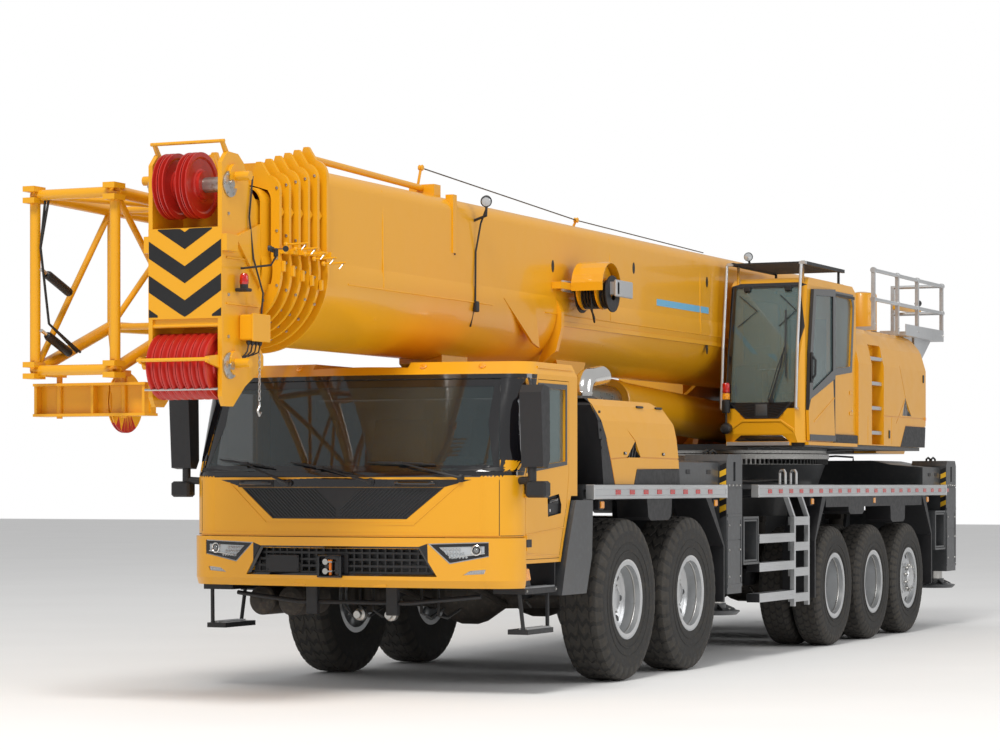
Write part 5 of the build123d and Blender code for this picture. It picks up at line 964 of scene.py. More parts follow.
def dress_cab_sides():
    for side, sign in (("left", 1), ("right", -1)):
        door = Piece(f"door_trim_{side}", f"door_{side}", gloss_black)
        y = sign * 1.4501
        out = Vector((0, sign, 0))
        pane = [(1.290, 1.850), (1.990, 1.800), (1.800, 2.430), (1.290, 2.430)]
        wide = [(1.256, 1.822), (2.066, 1.752), (1.836, 2.470), (1.256, 2.470)]
        for (a, b), (c, d) in zip(zip(wide, wide[1:] + wide[:1]), zip(pane, pane[1:] + pane[:1])):
            door.sheet([[((at(a[0]), y, a[1]), out), ((at(c[0]), y, c[1]), out)],
                        [((at(b[0]), y, b[1]), out), ((at(d[0]), y, d[1]), out)]], 0.003)
        # handle, its grip and lock
        door.use(black)
        door.block((at(1.385), at(1.640)), (sign * 1.4275, sign * 1.4300), (1.425, 1.560), 0.001)
        door.use(gloss_black)
        door.tube([(at(1.440), sign * 1.438, 1.548), (at(1.480), sign * 1.452, 1.540),
                   (at(1.560), sign * 1.452, 1.532),
                   (at(1.600), sign * 1.438, 1.528)], 0.014, 10)
        door.use(chrome).lathe([(0.012, 0), (0.012, 0.004), (0.008, 0.006)], (at(1.56), sign * 1.430, 1.455),
                               (0, sign, 0), 16)
        # crease along the door and its foot
        door.use(paint)
        door.prism([(1.30, 1.312), (2.07, 1.262), (2.07, 1.272), (1.30, 1.323)], (at(0), y, 0), (1, 0, 0),
                   (0, 0, 1),
                   -0.005 * sign, 0.002)
        door.prism([(1.42, 1.082), (2.07, 1.112), (2.07, 1.122), (1.42, 1.094)], (at(0), y, 0), (1, 0, 0),
                   (0, 0, 1),
                   -0.005 * sign, 0.002)
        door.use(rubber)
        door.tube([(at(1.9875), y - sign * 0.006, 1.806), (at(1.798), y - sign * 0.006, 2.426)], 0.006, 6)
        door.done(30)

        rest = Piece(f"cab_trim_{side}", "carrier", black)
        # low wide-angle mirror on the arm, and the mirror faces
        rest.block((at(2.125), at(2.245)), (sign * 1.515, sign * 1.690), (1.560, 1.690), 0.018)
        rest.use(mirror).block((at(2.121), at(2.126)), (sign * 1.530, sign * 1.675), (1.575, 1.675), 0.002)
        rest.block((at(2.108), at(2.114)), (sign * 1.512, sign * 1.655), (1.900, 2.180), 0.002)
        rest.block((at(2.110), at(2.117)), (sign * 1.512, sign * 1.655), (2.200, 2.395), 0.002)
        # side lamp at the step, in its black corner piece
        rest.use(black)
        rest.prism([(2.112, 0.860), (2.112, 1.035), (2.045, 1.035), (1.960, 0.860)], (at(0), sign * 1.446, 0),
                   (1, 0, 0), (0, 0, 1), 0.060 * sign, 0.006)
        rest.use(amber).prism([(2.092, 0.905), (2.088, 1.005), (2.030, 1.000), (1.995, 0.910)],
                              (at(0), sign * 1.4465, 0),
                              (1, 0, 0), (0, 0, 1), -0.014 * sign, 0.005)
        # steps: teeth on the edge of the tread plates
        rest.use(alloy)
        for low_x, high_x, z in ((1.480, 2.090, 0.845), (1.555, 2.035, 0.520)):
            count = int((high_x - low_x) / 0.022)
            for i in range(count):
                x = low_x + 0.008 + i * 0.022
                for row in range(3):
                    yy = 1.442 - row * 0.034
                    rest.prism([(0, 0), (0.012, 0), (0.009, 0.012), (0.003, 0.012)], (at(x), sign * yy, z),
                               (1, 0, 0),
                               (0, 0, 1), (0.010 if sign > 0 else -0.010), 0.001)
        # bright screws at the step
        rest.use(steel)
        for x, z in ((1.50, 0.825), (2.07, 0.825)):
            rest.bolt((at(x), sign * 1.4555, z), (0, sign, 0), 0.010)
        rest.done(30)


def dress_roof():
    """Clearance lamps over the windscreen, gutters at the sides."""
    roof = Piece("roof_trim", "carrier", paint)
    for sign in (1, -1):
        roof.tube([(at(1.10), sign * 1.425, 2.597), (at(1.80), sign * 1.425, 2.597)], 0.010, 8)
        for y in (0.56, 1.05):
            place, normal = cab_place(sign * t_of(y, 2.60), 2.60, 0.001)
            roof.use(amber).lathe([(0.028, 0), (0.030, 0.006), (0.024, 0.016), (0.010, 0.019)], place,
                                  normal, 12)
            roof.use(paint)
    roof.done(30)


for step in (dress_screen, dress_cowl, dress_wipers, dress_front_seams, dress_lamps, dress_grille,
             dress_cab_sides, dress_roof):
    step()


# ---------------------------------------------------------------- hood
def dress_hood():
    # front of each side panel, ahead of its groove
    def ahead(p):
        line = 0.27 + (p.z - 1.88) * 0.56 if p.z > 1.88 else 0.16 + (p.z - 1.64) * 0.46
        return p.x > at(line + 0.004)

    paint_faces("engine_hood", 1, lambda p,
                n: ahead(p) and abs(p.y) > 1.29 and abs(n.y) > 0.2 and p.z < 2.386)
    paint_faces("engine_hood", 1, lambda p, n: n.x > 0.4 and p.x > at(0.40) and p.z < 2.42)
    paint_faces("engine_hood", 1, lambda p, n: p.z < 1.80 and p.x < at(-0.25) and abs(p.y) > 1.415)
    paint_faces("engine_hood", 3, lambda p,
                n: abs(p.y) < 1.421 and 1.89 < p.z < 2.05 and at(-0.43) < p.x < at(-0.09) and abs(p.y) > 1.36)
    hood = Piece("hood_cap", "carrier", black)
    # black cap over the front of the hood, following its rounded edge
    edge_line = [(-1.4305, 2.045), (-1.4165, 2.200), (-1.361, 2.331), (-1.301, 2.3865), (-0.9, 2.3865)]
    full = edge_line + [(0.0, 2.3865)] + [(-y, z) for y, z in reversed(edge_line)]
    for (y0, z0), (y1, z1) in zip(full, full[1:]):
        def back(z):
            return 0.27 + (z - 1.88) * 0.56
        normal = Vector((0, -(z1 - z0), y1 - y0)).normalized()
        row0 = [((at(back(z0)), y0, z0), normal), ((at(0.53 if z0 < 2.34 else 0.50), y0, z0), normal)]
        row1 = [((at(back(z1)), y1, z1), normal), ((at(0.53 if z1 < 2.34 else 0.50), y1, z1), normal)]
        hood.sheet([row0, row1], 0.0025)
    # vertical ribs on the black front corner
    for sign in (1, -1):
        for i in range(5):
            z = 1.96 + i * 0.075
            x = 0.30 + (z - 1.88) * 0.56
            hood.block((at(x + 0.03), at(0.47 + (z - 1.88) * 0.10)), (sign * 1.428, sign * 1.436),
                       (z, z + 0.022), 0.003)
    hood.use(iron)
    # pipe collar, a clamp and the joint of the exhaust stack
    hood.lathe([(0.082, 0), (0.125, 0.0), (0.125, 0.010), (0.105, 0.016), (0.088, 0.030), (0.082, 0.030)],
               (at(0.215), 1.150, 2.3865), (0, 0, 1), 28, loop=True)
    hood.use(chrome)
    hood.lathe([(0.083, 0), (0.088, 0.002), (0.088, 0.020), (0.083, 0.022)], (at(0.215), 1.150, 2.428),
               (0, 0, 1), 28, loop=True)
    # latches and hinges of the side panels
    hood.use(black)
    for sign in (1, -1):
        for x, z in ((-0.05, 1.93), (-0.95, 1.93)):
            hood.block((at(x - 0.03), at(x + 0.03)), (sign * 1.428, sign * 1.437), (z - 0.012, z + 0.012),
                       0.004)
            hood.use(chrome).lathe([(0.009, 0), (0.009, 0.004), (0.006, 0.006)], (at(x), sign * 1.437, z),
                                   (0, sign, 0), 12)
            hood.use(black)
        for x in (-1.0, -0.55):
            hood.tube([(at(x - 0.07), sign * 1.365, 2.337), (at(x + 0.07), sign * 1.365, 2.337)], 0.010, 8)
    # grille slats of the hood's rear end
    for i in range(9):
        z = 1.74 + i * 0.05
        x = -1.3705 + (z - 1.66) * 0.167
        hood.block((at(x - 0.012), at(x + 0.002)), (-1.05, 1.05), (z, z + 0.014), 0.004)
    hood.done(30)


# ---------------------------------------------------------------- decks, rails, under the decks
red_marks = {"front": (0.250, -0.320, 8), "rear": (-3.670, -0.320, 21)}


def dress_rails():
    paint_faces("decks", 1, lambda p, n: abs(p.y) > 1.425 and 1.53 < p.z < 1.665 and abs(n.x) < 0.9)
    # painted light: the red marks along the rails take the glowing red lens material and glow a little, though they are
    # no lamp
    rails = Piece("rail_marks", "carrier", red_lens)
    for sign in (1, -1):
        for name, (first, step, count) in red_marks.items():
            for i in range(count):
                x = first + step * i
                if sign < 0 and not (-2.80 < x or -9.45 < x < -3.75):
                    continue
                rails.use(red_lens).block((at(x - 0.055), at(x + 0.055)), (sign * 1.4895, sign * 1.4935),
                                          (1.578, 1.618), 0.002)
    # end caps and bolts
    rails.use(alloy)
    for x in (0.795, -2.415, -3.310, -10.010):
        rails.block((at(x - 0.010), at(x + 0.010)), (1.425, 1.503), (1.538, 1.662), 0.004)
    for x in (0.795, -2.880, -3.670, -9.545):
        rails.block((at(x - 0.010), at(x + 0.010)), (-1.425, -1.503), (1.538, 1.662), 0.004)
    for sign in (1, -1):
        for i in range(34):
            x = 0.60 - i * 0.31
            if -3.4 < x < -2.3 or x < -9.4:
                continue
            rails.bolt((at(x), sign * 1.4995, 1.642), (0, sign, 0), 0.006)
    rails.done(30)

    lamps = Piece("side_lamps", "carrier", black)
    for sign in (1, -1):
        for x in (0.55, -2.20, -5.05, -7.20, -9.30):
            lamps.use(black).block((at(x - 0.050), at(x + 0.050)), (sign * 1.410, sign * 1.462),
                                   (1.452, 1.535), 0.006)
            lamps.use(amber).block((at(x - 0.038), at(x + 0.038)), (sign * 1.460, sign * 1.474),
                                   (1.464, 1.522), 0.006)
    # tail lamps: red, amber and white cells
    for sign in (1, -1):
        for i, material in enumerate((red_lens, amber, red_lens, white)):
            y = 0.985 + i * 0.066
            lamps.use(material).block((at(-11.176), at(-11.168)), (sign * y, sign * (y + 0.058)),
                                      (0.800, 0.942), 0.006)
        lamps.use(red_lens).block((at(-11.086), at(-11.078)), (sign * 0.30, sign * 0.42), (1.00, 1.06), 0.004)
    lamps.done(30)


def dress_decks():
    deck = Piece("deck_plates", "carrier", dark_plate)
    for sign in (1, -1):
        for rear, front in ((-1.36, 0.76), (-2.36, -1.40), (-9.25, -3.45)):
            if front - rear > 3:
                spans = [(rear, -8.05), (-5.75, front)]
            else:
                spans = [(rear, front)]
            for a, b in spans:
                if sign < 0 and b < -3:
                    b = min(b, -3.70)
                deck.block((at(a), at(b)), (sign * 1.16, sign * 1.47), (1.6602, 1.6645), 0.001)
    # hinged lids, catches and lifting eyes on the outrigger boxes
    deck.use(black)
    for x in (-1.62, -2.16, -9.58, -9.86):
        for sign in (1, -1):
            deck.block((at(x - 0.05), at(x + 0.05)), (sign * 1.405, sign * 1.416), (1.76, 1.80), 0.004)
    deck.use(frame_grey)
    for x in (-1.50, -3.30, -9.42, -10.44):
        deck.tube([(at(x), -0.22, 1.943), (at(x), -0.22, 1.995), (at(x), 0.0, 2.010), (at(x), 0.22, 1.995),
                   (at(x), 0.22, 1.943)], 0.012, 8)
    # bolts round the slewing ring, pipes on the deck behind it
    deck.use(steel)
    for i in range(44):
        angle = 2 * math.pi * i / 44
        deck.bolt((slew_x + 0.968 * math.cos(angle), 0.968 * math.sin(angle), 1.990), (0, 0, 1), 0.014)
    deck.use(hose)
    for k in range(4):
        y = 0.88 + k * 0.05
        deck.tube([(at(-5.60), y, 1.700), (at(-5.2), y, 1.710), (at(-4.6), y - 0.02, 1.690),
                   (at(-3.46), y - 0.02, 1.700)], 0.015, 8)
    deck.done(30)

    # the row of teeth seen round the slewing ring
    ring = Piece("ring_teeth", "carrier", iron)
    for i in range(120):
        angle = 2 * math.pi * i / 120
        u, v = math.cos(angle), math.sin(angle)
        c = Vector((slew_x, 0, 0))
        side = Vector((-v, u, 0))
        out = Vector((u, v, 0))
        base = c + out * 0.938
        ring.skin([[base + side * 0.016 + Vector((0, 0, 1.885)), base - side * 0.016 + Vector((0, 0, 1.885)),
                    base + out * 0.050 - side * 0.008 + Vector((0, 0,
                                                                1.885)), base + out * 0.050 + side * 0.008 + Vector((0, 0, 1.885))],
                   [base + side * 0.016 + Vector((0, 0, 1.936)), base - side * 0.016 + Vector((0, 0, 1.936)),
                    base + out * 0.050 - side * 0.008 + Vector((0, 0,
                                                                1.936)), base + out * 0.050 + side * 0.008 + Vector((0, 0, 1.936))]])
    ring.done(30)


def dress_outriggers():
    for name in ("front_left", "front_right", "rear_left", "rear_right"):
        node = f"outrigger_{name}"
        sign = 1 if "left" in name else -1
        x = middle(f"jack_{name}").x
        out = sign * 1.4855
        box = Piece(f"jack_trim_{name}", node, black)
        # hand slot, bolts round the cover, ribs on the housing
        # painted shade: a thin black sheet stands for the shade inside the hand slot
        box.block((x - 0.028, x + 0.028), (sign * 1.424, sign * 1.427), (1.697, 1.873), 0.001)
        box.use(frame_grey)
        for z in (1.36, 0.70):
            box.block((x - 0.200, x + 0.200), (out - sign * 0.002, out + sign * 0.006), (z, z + 0.030), 0.003)
        for dx in (-0.185, 0.185):
            box.block((x + dx - 0.012, x + dx + 0.012), (out - sign * 0.002, out + sign * 0.005),
                      (0.74, 1.33), 0.003)
        box.use(steel)
        for dx in (-0.15, -0.05, 0.05, 0.15):
            box.bolt((x + dx, out + sign * 0.0002, 1.655), (0, sign, 0), 0.010)
        for dx in (-0.15, 0.15):
            for z in (0.80, 1.05, 1.28):
                box.bolt((x + dx, out + sign * 0.0002, z), (0, sign, 0), 0.010)
        # hazard stripes on the edge facing forwards
        side = x + 0.215
        for i in range(9):
            z = 1.345 + i * 0.055
            material = yellow_mark if i % 2 else stripe_black
            box.use(material).prism([(sign * 1.415, z), (sign * 1.480, z + 0.028), (sign * 1.480, z + 0.083),
                                     (sign * 1.415, z + 0.055)],
                                    (side - 0.001, 0, 0), (0, 1, 0), (0, 0, 1), 0.003, 0.0008)
        # jack hoses over the housing's top
        box.use(hose)
        for k in range(2):
            y = sign * (1.20 + k * 0.06)
            box.tube([(x - 0.10, y, 1.90), (x - 0.10, y, 1.965), (x - 0.02, y, 1.985), (x + 0.06, y, 1.965),
                      (x + 0.06, y, 1.92)], 0.012, 8)
        box.done(30)

        foot = Piece(f"jack_foot_{name}", f"jack_{name}", steel)
        centre = (x, middle(f"jack_{name}").y, 0.502)
        for i in range(8):
            angle = 2 * math.pi * i / 8
            foot.bolt((x + 0.16 * math.cos(angle), centre[1] + 0.16 * math.sin(angle), 0.494), (0, 0, 1),
                      0.010)
        foot.use(frame_grey)
        for i in range(4):
            angle = math.pi / 4 + math.pi / 2 * i
            u = Vector((math.cos(angle), math.sin(angle), 0))
            foot.prism([(0.100, 0.0), (0.230, 0.0), (0.215, 0.014), (0.105, 0.060)], (x, centre[1], 0.486),
                       u, (0, 0, 1), 0.010, 0.002)
        foot.tube([(x - 0.245, centre[1] - 0.09, 0.470), (x - 0.275, centre[1] - 0.09, 0.475),
                   (x - 0.275, centre[1] + 0.09, 0.475),
                   (x - 0.245, centre[1] + 0.09, 0.470)], 0.008, 6)
        foot.done(30)


def dress_under_deck():
    """What hangs between the wheels: ladder grips, hose couplings, valves, brake chambers, cables."""
    under = Piece("couplings", "carrier", frame_grey)
    base_x = -3.02
    under.block((at(base_x - 0.03), at(base_x + 0.01)), (1.10, 1.40), (1.12, 1.50), 0.006)
    # painted light: the amber caps take the glowing amber lens material, so they glow a little though they are no lamp
    colours = (red, amber, blue, yellow_mark, white, red)
    for i, material in enumerate(colours):
        y, z = 1.14 + (i % 3) * 0.09, 1.22 + (i // 3) * 0.12
        under.use(steel).lathe([(0.020, 0), (0.020, 0.02), (0.014, 0.022), (0.014, 0.05)],
                               (at(base_x - 0.03), y, z), (-1, 0, 0), 12)
        under.use(material).lathe([(0.022, 0.03), (0.022, 0.075), (0.016, 0.080)], (at(base_x - 0.03), y, z),
                                  (-1, 0, 0), 12)
        under.use(hose).tube([(at(base_x - 0.10), y, z), (at(base_x - 0.22), y, z - 0.03),
                              (at(base_x - 0.30), y - 0.05, z - 0.20),
                              (at(base_x - 0.34), y - 0.15, z - 0.34)], 0.011, 8)
    # ribs on the ladder treads
    under.use(alloy)
    for sign in (1, -1):
        for z in (0.535, 0.790, 1.045, 1.300):
            for k in range(3):
                zz = z - 0.026 + k * 0.026
                under.block((at(-4.845), at(-4.455)), (sign * 1.4895, sign * 1.4945),
                            (zz - 0.004, zz + 0.004), 0.0015)
        for z in (0.570, 0.865, 1.140):
            for k in range(3):
                zz = z - 0.026 + k * 0.026
                under.block((at(-4.41), at(-3.365)), (sign * 1.4895, sign * 1.4945),
                            (zz - 0.004, zz + 0.004), 0.0015)
            under.use(black).block((at(-3.362), at(-3.350)), (sign * 1.36, sign * 1.49),
                                   (z - 0.042, z + 0.042), 0.004)
            under.use(alloy)
        # grab loops over the ladder
        for x in (-4.28, -4.62):
            under.tube([(at(x), sign * 1.44, 1.655), (at(x), sign * 1.44, 1.78),
                        (at(x - 0.02), sign * 1.42, 1.805), (at(x - 0.10), sign * 1.36, 1.805),
                        (at(x - 0.12), sign * 1.34, 1.78), (at(x - 0.12), sign * 1.34, 1.655)], 0.013, 8)
    under.done(30)

    gear = Piece("axle_gear", "carrier", brown_iron)
    for number in range(1, 6):
        x, z = axle_x[number], wheel_z[number]
        for sign in (1, -1):
            # brake chamber with its clamp and rod
            gear.use(black).lathe([(0.03, -0.10), (0.068, -0.09), (0.078, -0.04), (0.084, -0.005),
                                   (0.084, 0.005), (0.078, 0.04),
                                   (0.068, 0.09), (0.02, 0.10)], (x + 0.20, sign * 0.60, z + 0.10), (0.25, 0,
                                                                                                     1), 18)
            gear.use(steel).tube([(x + 0.16, sign * 0.60, z - 0.02), (x + 0.10, sign * 0.62, z - 0.08)],
                                 0.010, 8)
            gear.use(hose).tube([(x + 0.22, sign * 0.60, z + 0.20), (x + 0.20, sign * 0.55, z + 0.32),
                                 (x + 0.05, sign * 0.48, z + 0.36)], 0.010, 8)
        gear.use(brown_iron)
        # longitudinal links under the frame, and the cover's bolts
        for sign in (1, -1):
            gear.tube([(x + 0.05, sign * 0.36, z - 0.06),
                       (x + 0.95 if number == 1 else x + 0.62, sign * 0.38, z + 0.16)], 0.028, 10)
        for i in range(12):
            angle = 2 * math.pi * i / 12
            gear.bolt((x + 0.205 * math.cos(angle) * 0.99, 0.10, z + 0.205 * math.sin(angle) * 0.99),
                      (0, 1, 0), 0.010)
    # propeller shafts
    gear.use(iron)
    for a, b in ((1, 2), (3, 4), (4, 5)):
        gear.tube([(axle_x[a] - 0.28, 0, wheel_z[a] + 0.03), (axle_x[b] + 0.28, 0, wheel_z[b] + 0.03)],
                  0.048, 14)
    gear.tube([(axle_x[2] - 0.28, 0, wheel_z[2] + 0.03), (axle_x[3] + 0.28, 0, wheel_z[3] + 0.03)], 0.060, 14)
    gear.done(30)

    front = Piece("front_under", "carrier", black)
    # brackets, hoses and a coupling under the bumper
    for y in (-0.36, 0.36):
        front.block((at(2.20), at(2.26)), (y - 0.05, y + 0.05), (0.62, 0.90), 0.008)
    front.tube([(at(2.15), -1.10, 0.78), (at(2.22), -0.5, 0.72), (at(2.22), 0.5, 0.72),
                (at(2.15), 1.10, 0.78)], 0.018, 8)
    front.use(hose)
    for k, y in enumerate((-0.15, 0.0, 0.12, 0.55, 0.70)):
        front.tube([(at(2.10), y, 0.86), (at(2.16), y + 0.03, 0.70 - 0.02 * k), (at(2.06), y + 0.06, 0.60),
                    (at(1.80), y + 0.05, 0.66)], 0.012, 8)
    front.use(steel)
    for y in (0.02, 0.30):
        front.lathe([(0.04, 0), (0.05, 0.01), (0.05, 0.05), (0.03, 0.06), (0.03, 0.10)], (at(2.10), y, 0.62),
                    (1, 0, 0), 16)
    front.done(30)


yellow_mark = surface("mark_yellow", (0.80, 0.45, 0.02), 0.4, coat=0.2, vary=0.05)
for step in (dress_hood, dress_rails, dress_decks, dress_outriggers, dress_under_deck):
    step()


# ---------------------------------------------------------------- operator's cab
cab_front = slew_x + 2.060


def dress_operator_cab():
    front = Piece("operator_front", "upper", gloss_black)
    y0, y1 = 0.607, 1.348
    # black frame round the windscreen, in two planes that follow the cab's slope
    lower = [(0.0005, 2.500), (-0.0595, 2.998)]
    upper = [(-0.0595, 2.998), (-0.188, 3.690)]

    def plate(ends, ya, yb, out=0.0005, thick=0.003):
        (x0, z0), (x1, z1) = ends
        normal = Vector((z1 - z0, 0, x0 - x1)).normalized()
        shift = normal * out
        grid = [[((cab_front + x + shift.x, y, z + shift.z), normal) for y in (ya, yb)] for x,
                z in ((x0, z0), (x1, z1))]
        front.sheet(grid, thick)

    for ends in (lower, upper):
        plate(ends, y0, 0.662)
        plate(ends, 1.340, y1)
    plate([(-0.188, 3.690), (-0.205, 3.699)], y0, y1)
    # below the glass: a ribbed V panel and the black wedge at the foot
    plate([(0.0005, 2.440), (0.0005, 2.500)], y0, y1)
    front.use(black)
    v_shape = [(0.640, 2.500), (1.330, 2.500), (1.170, 2.335), (0.820, 2.335)]
    front.prism(v_shape, (cab_front + 0.0008, 0, 0), (0, 1, 0), (0, 0, 1), 0.004, 0.002)
    front.use(gloss_black)
    for i in range(9):
        z = 2.350 + i * 0.017
        reach = (z - 2.335) / 0.165
        left, right = 0.815 - 0.165 * reach, 1.175 + 0.145 * reach
        for a, b in ((left + 0.01, 0.925), (1.065, right - 0.01)):
            front.prism([(a, z + 0.010), (b, z - 0.004), (b, z + 0.003), (a, z + 0.017)] if a < 1 else
                        [(a, z - 0.004), (b, z + 0.010), (b, z + 0.017), (a, z + 0.003)],
                        (cab_front + 0.0045, 0, 0), (0, 1, 0), (0, 0, 1), 0.005, 0.0015)
    front.use(frame_grey).prism([(0.935, 2.365), (1.055, 2.365), (1.055, 2.480), (0.935, 2.480)],
                                (cab_front + 0.0045, 0, 0), (0, 1, 0), (0, 0, 1), 0.006, 0.004)
    front.use(gloss_black).prism([(0.700, 2.105), (1.290, 2.105), (1.215, 2.165), (0.775, 2.165)],
                                 (cab_front + 0.0006, 0, 0), (0, 1, 0), (0, 0, 1), 0.005, 0.003)
    front.use(paint)
    # raised yellow chin round the V panel
    front.prism([(0.625, 2.190), (0.790, 2.300), (1.200, 2.300), (1.345, 2.190), (1.345, 2.230),
                 (1.205, 2.322), (0.785, 2.322), (0.625, 2.230)],
                (cab_front + 0.0006, 0, 0), (0, 1, 0), (0, 0, 1), 0.012, 0.005)
    front.use(silver).block((cab_front + 0.026, cab_front + 0.034), (0.630, 1.300), (2.060, 2.098), 0.004)
    # catches at the top of the glass
    front.use(black)
    for y in (0.78, 1.22):
        front.block((cab_front - 0.215, cab_front - 0.160), (y - 0.035, y + 0.035), (3.640, 3.692), 0.008)
    front.done(30)

    wiper = Piece("operator_wiper", "upper", black)
    wiper.lathe([(0.028, 0), (0.028, 0.012), (0.018, 0.020), (0.018, 0.034)],
                (cab_front + 0.002, 1.10, 2.515), (1, 0, 0), 16)
    wiper.tube([(cab_front + 0.030, 1.10, 2.515), (cab_front + 0.012, 1.20, 2.86),
                (cab_front - 0.016, 1.235, 3.06)], [0.012, 0.009, 0.007], 8)
    wiper.tube([(cab_front + 0.030, 1.07, 2.515), (cab_front + 0.010, 1.17, 2.86),
                (cab_front - 0.016, 1.225, 3.02)], 0.005, 6)
    wiper.tube([(cab_front + 0.016, 1.262, 2.75), (cab_front - 0.012, 1.245, 3.05),
                (cab_front - 0.090, 1.225, 3.44)], 0.009, 6)
    wiper.done(30)

    side = Piece("operator_side", "upper", gloss_black)
    # black frame of the sliding door and of the rear pane
    y = 1.4562
    door_frame = [(-1.010, 2.770), (-0.145, 2.520), (-0.175, 3.000), (-0.290, 3.660), (-1.010, 3.700)]
    door_pane = [(-0.930, 2.850), (-0.255, 2.620), (-0.262, 3.000), (-0.372, 3.600), (-0.930, 3.620)]
    for (a, b), (c, d) in zip(zip(door_frame, door_frame[1:] + door_frame[:1]),
                              zip(door_pane, door_pane[1:] + door_pane[:1])):
        side.sheet([[((cab_front + a[0], y, a[1]), (0, 1, 0)), ((cab_front + c[0], y, c[1]), (0, 1, 0))],
                    [((cab_front + b[0], y, b[1]), (0, 1, 0)),
                     ((cab_front + d[0], y, d[1]), (0, 1, 0))]], 0.003)
    y = 1.4202
    rear_frame = [(-1.700, 2.860), (-1.055, 2.800), (-1.020, 2.930), (-1.020, 3.690), (-1.740, 3.690),
                  (-1.780, 3.570)]
    rear_pane = [(-1.640, 2.920), (-1.120, 2.880), (-1.090, 2.940), (-1.090, 3.640), (-1.670, 3.640),
                 (-1.720, 3.560)]
    for (a, b), (c, d) in zip(zip(rear_frame, rear_frame[1:] + rear_frame[:1]),
                              zip(rear_pane, rear_pane[1:] + rear_pane[:1])):
        side.sheet([[((cab_front + a[0], y, a[1]), (0, 1, 0)), ((cab_front + c[0], y, c[1]), (0, 1, 0))],
                    [((cab_front + b[0], y, b[1]), (0, 1, 0)),
                     ((cab_front + d[0], y, d[1]), (0, 1, 0))]], 0.003)
    # door handle, hinge covers, lock and the dark foot of the cab's side
    side.use(black)
    side.block((cab_front - 0.235, cab_front - 0.175), (1.459, 1.474), (2.700, 3.010), 0.010)
    side.tube([(cab_front - 0.210, 1.470, 2.740), (cab_front - 0.205, 1.500, 2.780),
               (cab_front - 0.215, 1.500, 2.930), (cab_front - 0.220, 1.470, 2.970)], 0.012, 8)
    side.use(frame_grey)
    side.block((cab_front - 1.010, cab_front - 0.160), (1.4562, 1.462), (2.112, 2.175), 0.003)
    side.use(black)
    side.block((cab_front - 1.840, cab_front - 1.030), (1.4202, 1.445), (2.095, 2.190), 0.008)
    side.block((cab_front - 1.790, cab_front - 1.100), (1.444, 1.449), (2.110, 2.135), 0.002)
    side.use(chrome).lathe([(0.012, 0), (0.012, 0.004), (0.008, 0.006)], (cab_front - 1.70, 1.4205, 2.45),
                           (0, 1, 0), 14)
    side.use(paint)
    for x, z0, z1 in ((-1.07, 2.62, 2.66), (-1.66, 2.40, 2.44), (-1.66, 2.62, 2.66)):
        side.block((cab_front + x - 0.05, cab_front + x + 0.05), (1.4202, 1.428), (z0, z1), 0.004)
    side.use(paint)
    side.prism([(-0.98, 2.56), (-0.30, 2.30), (-0.30, 2.312), (-0.98, 2.572)], (cab_front, 1.4562, 0),
               (1, 0, 0), (0, 0, 1), -0.005, 0.002)
    side.done(30)

    # beacon on its post, round mirror, hooter at the cab's right front edge
    kit = Piece("operator_kit", "upper", black)
    post_x, post_y = cab_front + 0.075, 0.640
    kit.block((cab_front, cab_front + 0.080), (0.625, 0.655), (2.395, 2.420), 0.004)
    kit.tube([(post_x, post_y, 2.28), (post_x, post_y, 2.60)], 0.012, 8)
    kit.use(red_lens).lathe([(0.036, 0), (0.040, 0.01), (0.038, 0.085), (0.030, 0.100)],
                            (post_x, post_y, 2.60), (0, 0, 1), 18)
    kit.use(amber).lathe([(0.036, 0), (0.040, 0.004), (0.040, 0.060), (0.036, 0.064)],
                         (post_x, post_y, 2.53), (0, 0, 1), 18)
    kit.use(black).lathe([(0.040, 0), (0.043, 0.008), (0.043, 0.12), (0.036, 0.13)], (post_x, post_y, 2.395),
                         (0, 0, 1), 18)
    kit.lathe([(0.052, -0.05), (0.056, -0.04), (0.056, 0.02), (0.040, 0.045), (0.018, 0.050)],
              (post_x, post_y, 2.235), (1, 0, 0), 20)
    kit.tube([(post_x - 0.01, post_y, 2.235), (post_x - 0.01, post_y, 2.40)], 0.008, 8)
    # work lamp on the roof guard
    lamp_x, lamp_y = cab_front - 0.10, 0.82
    kit.tube([(lamp_x - 0.03, lamp_y, 3.935), (lamp_x - 0.01, lamp_y, 3.965)], 0.012, 8)
    kit.lathe([(0.022, -0.05), (0.040, -0.03), (0.046, 0.00), (0.046, 0.020), (0.040, 0.022)],
              (lamp_x, lamp_y, 3.995), (1, 0.2, -0.15), 20)
    kit.use(lens).lathe([(0.040, 0.0), (0.040, 0.006), (0.02, 0.012), (0.008, 0.014)],
                        Vector((lamp_x, lamp_y, 3.995)) + Vector((1, 0.2, -0.15)).normalized() * 0.020, (1,
                                                                                                         0.2, -0.15), 20)
    kit.done(30)

    # inside: monitor, joysticks and dash lamps, a folded lattice sunshade
    inside = Piece("operator_inside", "upper", trim)
    inside.block((cab_front - 0.30, cab_front - 0.27), (0.76, 1.00), (2.90, 3.08), 0.008)
    inside.tube([(cab_front - 0.30, 0.88, 2.86), (cab_front - 0.28, 0.88, 2.95)], 0.014, 8)
    inside.use(white)
    for i in range(2):
        inside.block((cab_front - 0.32, cab_front - 0.20), (0.80 + i * 0.20, 0.94 + i * 0.20),
                     (2.845, 2.850), 0.001)
    inside.use(blue).tube([(cab_front - 0.62, 1.345, 2.95), (cab_front - 0.60, 1.350, 3.20),
                           (cab_front - 0.64, 1.345, 3.45)], 0.010, 8)
    inside.use(trim)
    for ya, yb in ((0.70, 0.90), (1.14, 1.32)):
        inside.tube([(cab_front - 0.17, ya, 3.60), (cab_front - 0.14, yb, 3.44),
                     (cab_front - 0.12, ya, 3.28)], 0.005, 6)
    inside.done(30)


